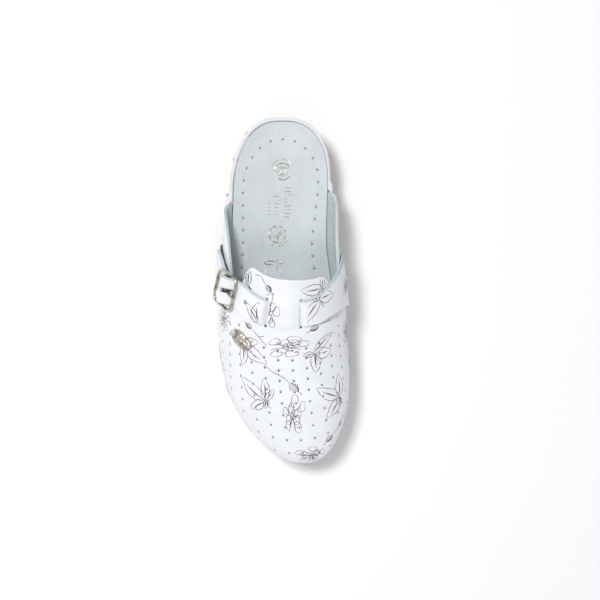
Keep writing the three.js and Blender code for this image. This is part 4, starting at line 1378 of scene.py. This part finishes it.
class CLOG_OT_welt(bpy.types.Operator):
    """Welt: a leather band with rounded edges round the whole rim"""
    bl_idname = "clog.welt"
    bl_label = "Welt"

    def execute(self, context):
        last, sizes, colours = settings(context)
        phi = np.linspace(0, 2 * math.pi, 720, endpoint=False)
        side, tau = round_rim(phi)
        profile = section(0.5, WELT_HEIGHT, 0.45, 3, 4)
        near = stack_under_welt(last, tau, side, 2.5)[:, None]
        far = (stack_under_welt(last, tau, side) + welt_thickness(tau))[:, None]
        d = mix(near, far, (profile[:, 0] + 0.5)[None, :])
        x, y = last.spot(tau[:, None], side[:, None], d)
        z = last.rim(np.cos(tau))[:, None] - 0.5 - WELT_HEIGHT / 2 + profile[:, 1][None, :]
        piece = outwards(sweep("welt_band", np.stack([x, y, z], -1), closed=True))
        dress(piece, BODY, "welt_leather", ["welt"], smooth_welt())
        return {"FINISHED"}


def nail_points(origins, axes, length, head):
    """Domed nail heads on tapering shanks: a 12-sided turned profile along each axis."""
    profile = np.array([
        (0.0, 0.95), (head * 0.45, 0.88), (head * 0.85, 0.55), (head, 0.3), (0.85, 0.3), (0.75, 2 - length),
        (0.0, -length)])
    turn = np.linspace(0, 2 * math.pi, 12, endpoint=False)
    first = unit(np.cross(axes, np.where(np.abs(axes[:, 2:]) > 0.9, [1.0, 0, 0], [0.0, 0, 1.0])))
    second = np.cross(axes, first)
    round_ = np.cos(turn)[None, :, None] * first[:, None] + np.sin(turn)[None, :, None] * second[:, None]
    return (origins[:, None, None] + profile[None, :, None, :1] * round_[:, None]
            + profile[None, :, None, 1:] * axes[:, None, None])


class CLOG_OT_nails(bpy.types.Operator):
    """Nails: a row round the welt and eight sunk in the treads"""
    bl_idname = "clog.nails"
    bl_label = "Nails"

    def execute(self, context):
        last, sizes, colours = settings(context)
        phi = (np.arange(RIM_NAILS) + 0.5) / RIM_NAILS * 2 * math.pi
        side, tau = round_rim(phi)
        stacks = [stack_under_welt(last, tau + step, side) for step in (-0.04, 0, 0.04)]
        d = np.max(stacks, 0) + welt_thickness(tau)
        x, y = last.spot(tau, side, d)
        before, after = (np.stack(last.spot(tau + step, side, d), -1) for step in (-0.01, 0.01))
        along = after - before
        outward = unit(np.stack([along[:, 1], -along[:, 0], 0 * x], -1) * -side[:, None])
        rim_nails = np.stack([x, y, last.rim(np.cos(tau)) - 0.8 * WELT_HEIGHT], -1)
        spots = np.array([
            (-22, 0.86), (22, 0.86), (-22, 0.55), (22, 0.55),
            (-26, -0.22), (26, -0.22), (-30, -0.5), (32, -0.5)])
        sunk = np.stack([spots[:, 0], spots[:, 1] * last.half, np.full(8, 2.6 + GAP)], -1)
        down = np.tile([0.0, 0, -1.0], (8, 1))
        material = plain_steel()
        rows_of_nails = (("welt_nails", rim_nails, outward, 10), ("tread_nails", sunk, down, 12))
        for name, origins, axes, length in rows_of_nails:
            points = nail_points(origins, axes, length, NAIL_HEAD)
            count, rows, cols = points.shape[:3]
            faces = [grid_faces(rows, cols, False, True) + k * rows * cols for k in range(count)]
            nails = make_object(name, points.reshape(-1, 3), np.concatenate(faces).tolist())
            piece = merge(nails, 1e-7)
            nodes = [f"{name[:-1]}_{k + 1:02d}" for k in range(count)]
            dress(piece, BODY, "nail_steel", nodes, material)
        return {"FINISHED"}


def buckle_frame(last):
    """The buckle's place: rows are along the strap towards its tip, out of the upper, along the bars,
    and the origin on the last."""
    q, y = np.float64(BUCKLE_Q), last.strap_y(BUCKLE_Q)
    along_q, along_y, normal = last.tangents(q, y)
    slope = (last.strap_y(q + 0.01) - last.strap_y(q - 0.01)) / 0.02
    ahead = -unit(along_q + along_y * slope)
    bar = unit(np.cross(ahead, normal))
    return np.stack([ahead, normal, bar]), last.on_shell(q, y, 0.0)


def tube(name, path, radius, sides, closed, up):
    """A round wire along a path; radius is one number or one for each point."""
    along = np.roll(path, -1, 0) - np.roll(path, 1, 0) if closed else np.gradient(path, axis=0)
    along = unit(along)
    first = unit(np.cross(along, up))
    second = np.cross(along, first)
    turn = np.linspace(0, 2 * math.pi, sides, endpoint=False)
    radius = np.broadcast_to(radius, len(path))[:, None, None]
    loops = path[:, None] + radius * (np.cos(turn)[None, :, None] * first[:, None]
                                      + np.sin(turn)[None, :, None] * second[:, None])
    return sweep(name, loops, closed=closed)


def bar_plane(x):
    return mix(INNER_LIFT, OUTER_LIFT, (x + BUCKLE_REACH) / (2 * BUCKLE_REACH))


class CLOG_OT_buckle(bpy.types.Operator):
    """Buckle: a rounded rectangle of wire, |cos|^(2/5) by |sin|^(2/5), with a centre bar"""
    bl_idname = "clog.buckle"
    bl_label = "Buckle"

    def execute(self, context):
        last, sizes, colours = settings(context)
        axes, origin = buckle_frame(last)
        a = np.linspace(0, 2 * math.pi, 160, endpoint=False)
        a = a - 0.2 * np.sin(4 * a)
        x = BUCKLE_REACH * np.sign(np.cos(a)) * np.abs(np.cos(a)) ** 0.4
        z = BUCKLE_HALF * np.sign(np.sin(a)) * np.abs(np.sin(a)) ** 0.4
        wire = np.stack([x, bar_plane(x), z], -1) @ axes + origin
        frame_wire = tube("buckle_wire", wire, WIRE, 16, True, axes[1])
        f = np.linspace(-1, 1, 40)
        bar_path = np.stack([0 * f, BAR_LIFT + 0 * f, f * BUCKLE_HALF], -1) @ axes + origin
        swell = BAR * (1 + 0.12 * ease(0.8, 1, np.abs(f)))
        bar = tube("centre_bar", bar_path, swell, 16, False, axes[1])
        material = antique("antique_nickel", rgb(colours.nickel), 0.42)
        for part in (frame_wire, bar):
            outwards(part).data.materials.append(material)
        piece = joined("buckle_wire", [frame_wire, bar])
        dress(piece, "buckle", "buckle_metal", ["buckle_frame"])
        return {"FINISHED"}


class CLOG_OT_prong(bpy.types.Operator):
    """Prong: a flat ring round the centre bar and a tapering arm that rests on the buckle's wire"""
    bl_idname = "clog.prong"
    bl_label = "Prong"

    def execute(self, context):
        last, sizes, colours = settings(context)
        axes, origin = buckle_frame(last)
        lift = bar_plane(-BUCKLE_REACH) + WIRE + GAP + 0.9
        knots = np.array([(-1.3, BAR_LIFT + 0.3), (-6, (BAR_LIFT + 0.3 + lift + 0.15) / 2 + 0.5),
                          (-BUCKLE_REACH, lift + 0.15), (-BUCKLE_REACH - 2.2, lift - 0.2)])
        f = np.linspace(0, 1, 40)
        t = np.linspace(0, 1, 4)
        x, y = (curve(list(zip(t, axis)))(f) for axis in knots.T)
        path = np.stack([x, y, 0 * x], -1) @ axes + origin
        radius = 0.9 * np.sqrt(np.maximum(1 - power((f - 0.93) / 0.07, 2) * 0.9, 0.05)) * (1 - 0.12 * f)
        arm = tube("arm", path, radius, 14, False, axes[2])
        a = np.linspace(0, 2 * math.pi, 48, endpoint=False)
        profile = section(1.1, 0.85, 0.3, 4, 3)
        radial = 1.55 + profile[None, :, 1]
        ring_points = np.stack([radial * np.cos(a)[:, None], BAR_LIFT + radial * np.sin(a)[:, None],
                                np.broadcast_to(profile[:, 0], (48, len(profile)))], -1) @ axes + origin
        eye = sweep("eye", ring_points, closed=True)
        material = antique("prong_nickel", rgb(colours.nickel), 0.42)
        for part in (arm, eye):
            outwards(part).data.materials.append(material)
        piece = joined("prong_wire", [arm, eye])
        dress(piece, "prong", "buckle_metal", ["buckle_prong"])
        return {"FINISHED"}


class CLOG_OT_elastic(bpy.types.Operator):
    """Elastic tape: a black woven band from the outer welt that loops round the centre bar"""
    bl_idname = "clog.elastic"
    bl_label = "Elastic"

    def execute(self, context):
        last, sizes, colours = settings(context)
        wall = -last.q_margin * np.linspace(1, 0, 14)[:-1]
        qs = np.r_[wall, np.linspace(0, BUCKLE_Q - 0.035, 70)]
        profile = section(1.0, TAPE, 0.06, 21, 3)
        q, y = ribbon_grid(last, qs, profile[:, 0], last.tape_y, lambda q: np.full_like(q, TAPE_HALF))
        d = last.tape_offset(qs)[:, None] + profile[None, :, 1]
        loops = last.on_shell(q, y, d)
        run = np.r_[0, np.cumsum(np.linalg.norm(np.diff(loops.mean(1), axis=0), axis=1))]
        uv = np.stack(np.broadcast_arrays(profile[:, 0][None, :] * TAPE_HALF, run[:, None]), -1)
        band = sweep("band", loops, uv)
        axes, origin = buckle_frame(last)
        lobes = []
        a = np.linspace(0, 2 * math.pi, 56, endpoint=False)
        for centre in (-5.5, 5.5):
            lobe = section(2.9, LOOP_OUT - LOOP_IN, 0.3, 9, 3)
            radial = (LOOP_IN + LOOP_OUT) / 2 + lobe[None, :, 1]
            points = np.stack([radial * np.cos(a)[:, None], BAR_LIFT + radial * np.sin(a)[:, None],
                               np.broadcast_to(lobe[:, 0] + centre, (56, len(lobe)))], -1) @ axes + origin
            uv = np.stack(np.broadcast_arrays(lobe[:, 0][None, :] + centre, a[:, None] * 1.75), -1)
            lobes.append(sweep("lobe", points, uv, closed=True))
        material = woven_elastic()
        for part in [band, *lobes]:
            outwards(part).data.materials.append(material)
        piece = joined("elastic_band", [band, *lobes])
        dress(piece, BODY, "elastic", ["elastic_tape"])
        return {"FINISHED"}


class CLOG_OT_badge(bpy.types.Operator):
    """Badge: a domed oval with a raised rim and an embossed sprig of leaves, and its back plate"""
    bl_idname = "clog.badge"
    bl_label = "Badge"

    def execute(self, context):
        last, sizes, colours = settings(context)
        c, s = math.cos(BADGE_TURN), math.sin(BADGE_TURN)
        along_q, along_y, normal = last.tangents(np.float64(BADGE_Q), np.float64(BADGE_Y))
        across = unit(along_q)
        upward = np.cross(normal, across)
        f = np.sqrt(np.linspace(0, 1, 46))[1:, None]
        angle = np.linspace(0, 2 * math.pi, 180, endpoint=False)[None, :]

        def oval(f, height):
            a, b = f * BADGE_LONG * np.cos(angle), f * BADGE_SHORT * np.sin(angle)
            a, b = a * c - b * s, a * s + b * c
            dq, dy = surface_step(along_q, along_y, a[..., None] * across + b[..., None] * upward)
            return last.on_shell(BADGE_Q + dq, BADGE_Y + dy, last.outside + GAP + height)

        x, y = f * BADGE_LONG * np.cos(angle), f * BADGE_SHORT * np.sin(angle)
        leaves = np.abs(np.sin(x * 1.25 + 0.9 * np.abs(y))) ** 3 * np.abs(np.cos(y * 0.9 + 0.3 * x))
        vein = np.exp(-(((y - 0.8 * np.sin(x * 0.35)) / 0.35) ** 2))
        figure = (0.3 * leaves + 0.25 * vein) * (1 - ease(0.74, 0.82, f))
        beads = 0.12 * np.sin(angle * 44) * np.exp(-(((f - 0.86) / 0.025) ** 2))
        rim_line = 0.32 * np.exp(-(((f - 0.94) / 0.035) ** 2))
        dome = 0.9 + 1.0 * (1 - f * f) + figure + beads + rim_line
        edge = dome * np.sqrt(np.maximum(1 - power((f - 0.96) / 0.04, 2), 0.0))
        top, base = oval(f, edge), oval(f, 0 * edge)
        peak = oval(0 * f[:1], 0 * angle + 1.9)[0, :1]
        floor = oval(0 * f[:1], 0 * angle)[0, :1]
        points = np.concatenate([peak, top.reshape(-1, 3), base[-1] + normal * 0.01, floor])
        rows, cols = top.shape[:2]
        faces = (grid_faces(rows, cols, False, True) + 1).tolist()
        ring_ids = np.arange(cols)
        fan = np.stack([np.zeros(cols, int), 1 + ring_ids, 1 + (ring_ids + 1) % cols], -1).tolist()
        low = 1 + rows * cols
        outer = 1 + (rows - 1) * cols
        wall = np.stack([outer + ring_ids, low + ring_ids, low + (ring_ids + 1) % cols,
                         outer + (ring_ids + 1) % cols], -1).tolist()
        under = np.stack([np.full(cols, low + cols), low + (ring_ids + 1) % cols, low + ring_ids], -1)
        under = under.tolist()
        piece = merge(make_object("badge_plate", points, faces + [t[::-1] for t in fan] + wall + under))
        work_normals(piece)
        bronze = antique("antique_bronze", rgb(colours.bronze), 0.3, 0.3)
        dress(piece, BODY, "badge_metal", ["oval_badge"], bronze)
        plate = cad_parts["badge_backplate"]
        plate.data.materials.clear()
        plate.data.materials.append(plain_steel())
        return {"FINISHED"}


def work_normals(piece):
    """Makes a closed mesh's faces agree and point outwards."""
    work = bmesh.new()
    work.from_mesh(piece.data)
    bmesh.ops.recalc_face_normals(work, faces=work.faces)
    work.to_mesh(piece.data)
    work.free()
    return outwards(piece)


# Name, place in metres, power in watts and size in metres.
LAMPS = [("key", (-0.5, 0.3, 1.6), 17.8, 0.3), ("fill", (-0.2, -1.3, 1.2), 3.2, 1.2)]


class CLOG_OT_stage(bpy.types.Operator):
    """Stage: a plain pale floor, soft studio light and the camera"""
    bl_idname = "clog.stage"
    bl_label = "Stage"

    def execute(self, context):
        size = 3.0
        corners = [(-size, -size, 0), (size, -size, 0), (size, size, 0), (-size, size, 0)]
        floor = make_object("floor", np.array(corners) / MM, [[0, 1, 2, 3]])
        look = Look("pale_floor", (0.95, 0.95, 0.95), 0.9)
        look.set(**{"Base Color": look.blend(look.noise(4.0), (0.94, 0.94, 0.94), (0.96, 0.96, 0.96))})
        floor.data.materials.append(look.material)
        scene = context.scene
        world = bpy.data.worlds.new("studio")
        world.use_nodes = True
        world.node_tree.nodes["Background"].inputs[0].default_value = (0.93, 0.96, 1.0, 1)
        world.node_tree.nodes["Background"].inputs[1].default_value = 0.5
        scene.world = world
        scene.view_settings.view_transform = "Standard"
        for name, place, energy, spread in LAMPS:
            light = bpy.data.lights.new(name, "AREA")
            light.energy = energy
            light.size = spread
            lamp = bpy.data.objects.new(name, light)
            lamp.location = place
            lamp.rotation_euler = (Vector((0, 0, 0.03)) - Vector(place)).to_track_quat("-Z", "Y").to_euler()
            scene.collection.objects.link(lamp)
        lens = bpy.data.cameras.new("camera")
        lens.lens = 80.0
        lens.sensor_width = 36.0
        camera = bpy.data.objects.new("camera", lens)
        aim = Vector((0.0152, -0.0072, 0.03))
        tilt = math.radians(6)
        camera.location = aim + Vector((-math.sin(tilt), 0, math.cos(tilt)))
        back = (camera.location - aim).normalized()
        right = Vector((0, 1, 0)).cross(back).normalized()
        camera.rotation_euler = Matrix((right, back.cross(right), back)).transposed().to_euler()
        scene.collection.objects.link(camera)
        scene.camera = camera
        return {"FINISHED"}


OPERATORS = [
    CLOG_OT_sole, CLOG_OT_treads, CLOG_OT_pad, CLOG_OT_insole, CLOG_OT_foil, CLOG_OT_upper, CLOG_OT_upper_print,
    CLOG_OT_strap, CLOG_OT_strap_print, CLOG_OT_elastic, CLOG_OT_welt, CLOG_OT_nails, CLOG_OT_buckle, CLOG_OT_prong,
    CLOG_OT_badge, CLOG_OT_stage,
]


class CLOG_PT_panel(bpy.types.Panel):
    bl_idname = "CLOG_PT_panel"
    bl_label = "Clog"
    bl_space_type = "VIEW_3D"
    bl_region_type = "UI"
    bl_category = "Clog"

    def draw(self, context):
        for group in (context.scene.clog_sizes, context.scene.clog_colours):
            for name in group.__annotations__:
                self.layout.prop(group, name)
        for operator in OPERATORS:
            self.layout.operator(operator.bl_idname)


CLASSES = [ClogSizes, ClogColours, *OPERATORS, CLOG_PT_panel]


def register():
    for cls in CLASSES:
        bpy.utils.register_class(cls)
    bpy.types.Scene.clog_sizes = bpy.props.PointerProperty(type=ClogSizes)
    bpy.types.Scene.clog_colours = bpy.props.PointerProperty(type=ClogColours)


def unregister():
    del bpy.types.Scene.clog_colours
    del bpy.types.Scene.clog_sizes
    for cls in reversed(CLASSES):
        bpy.utils.unregister_class(cls)


def main():
    register()
    for operator in OPERATORS:
        group, name = operator.bl_idname.split(".")
        getattr(getattr(bpy.ops, group), name)()


if __name__ == "__main__":
    main()
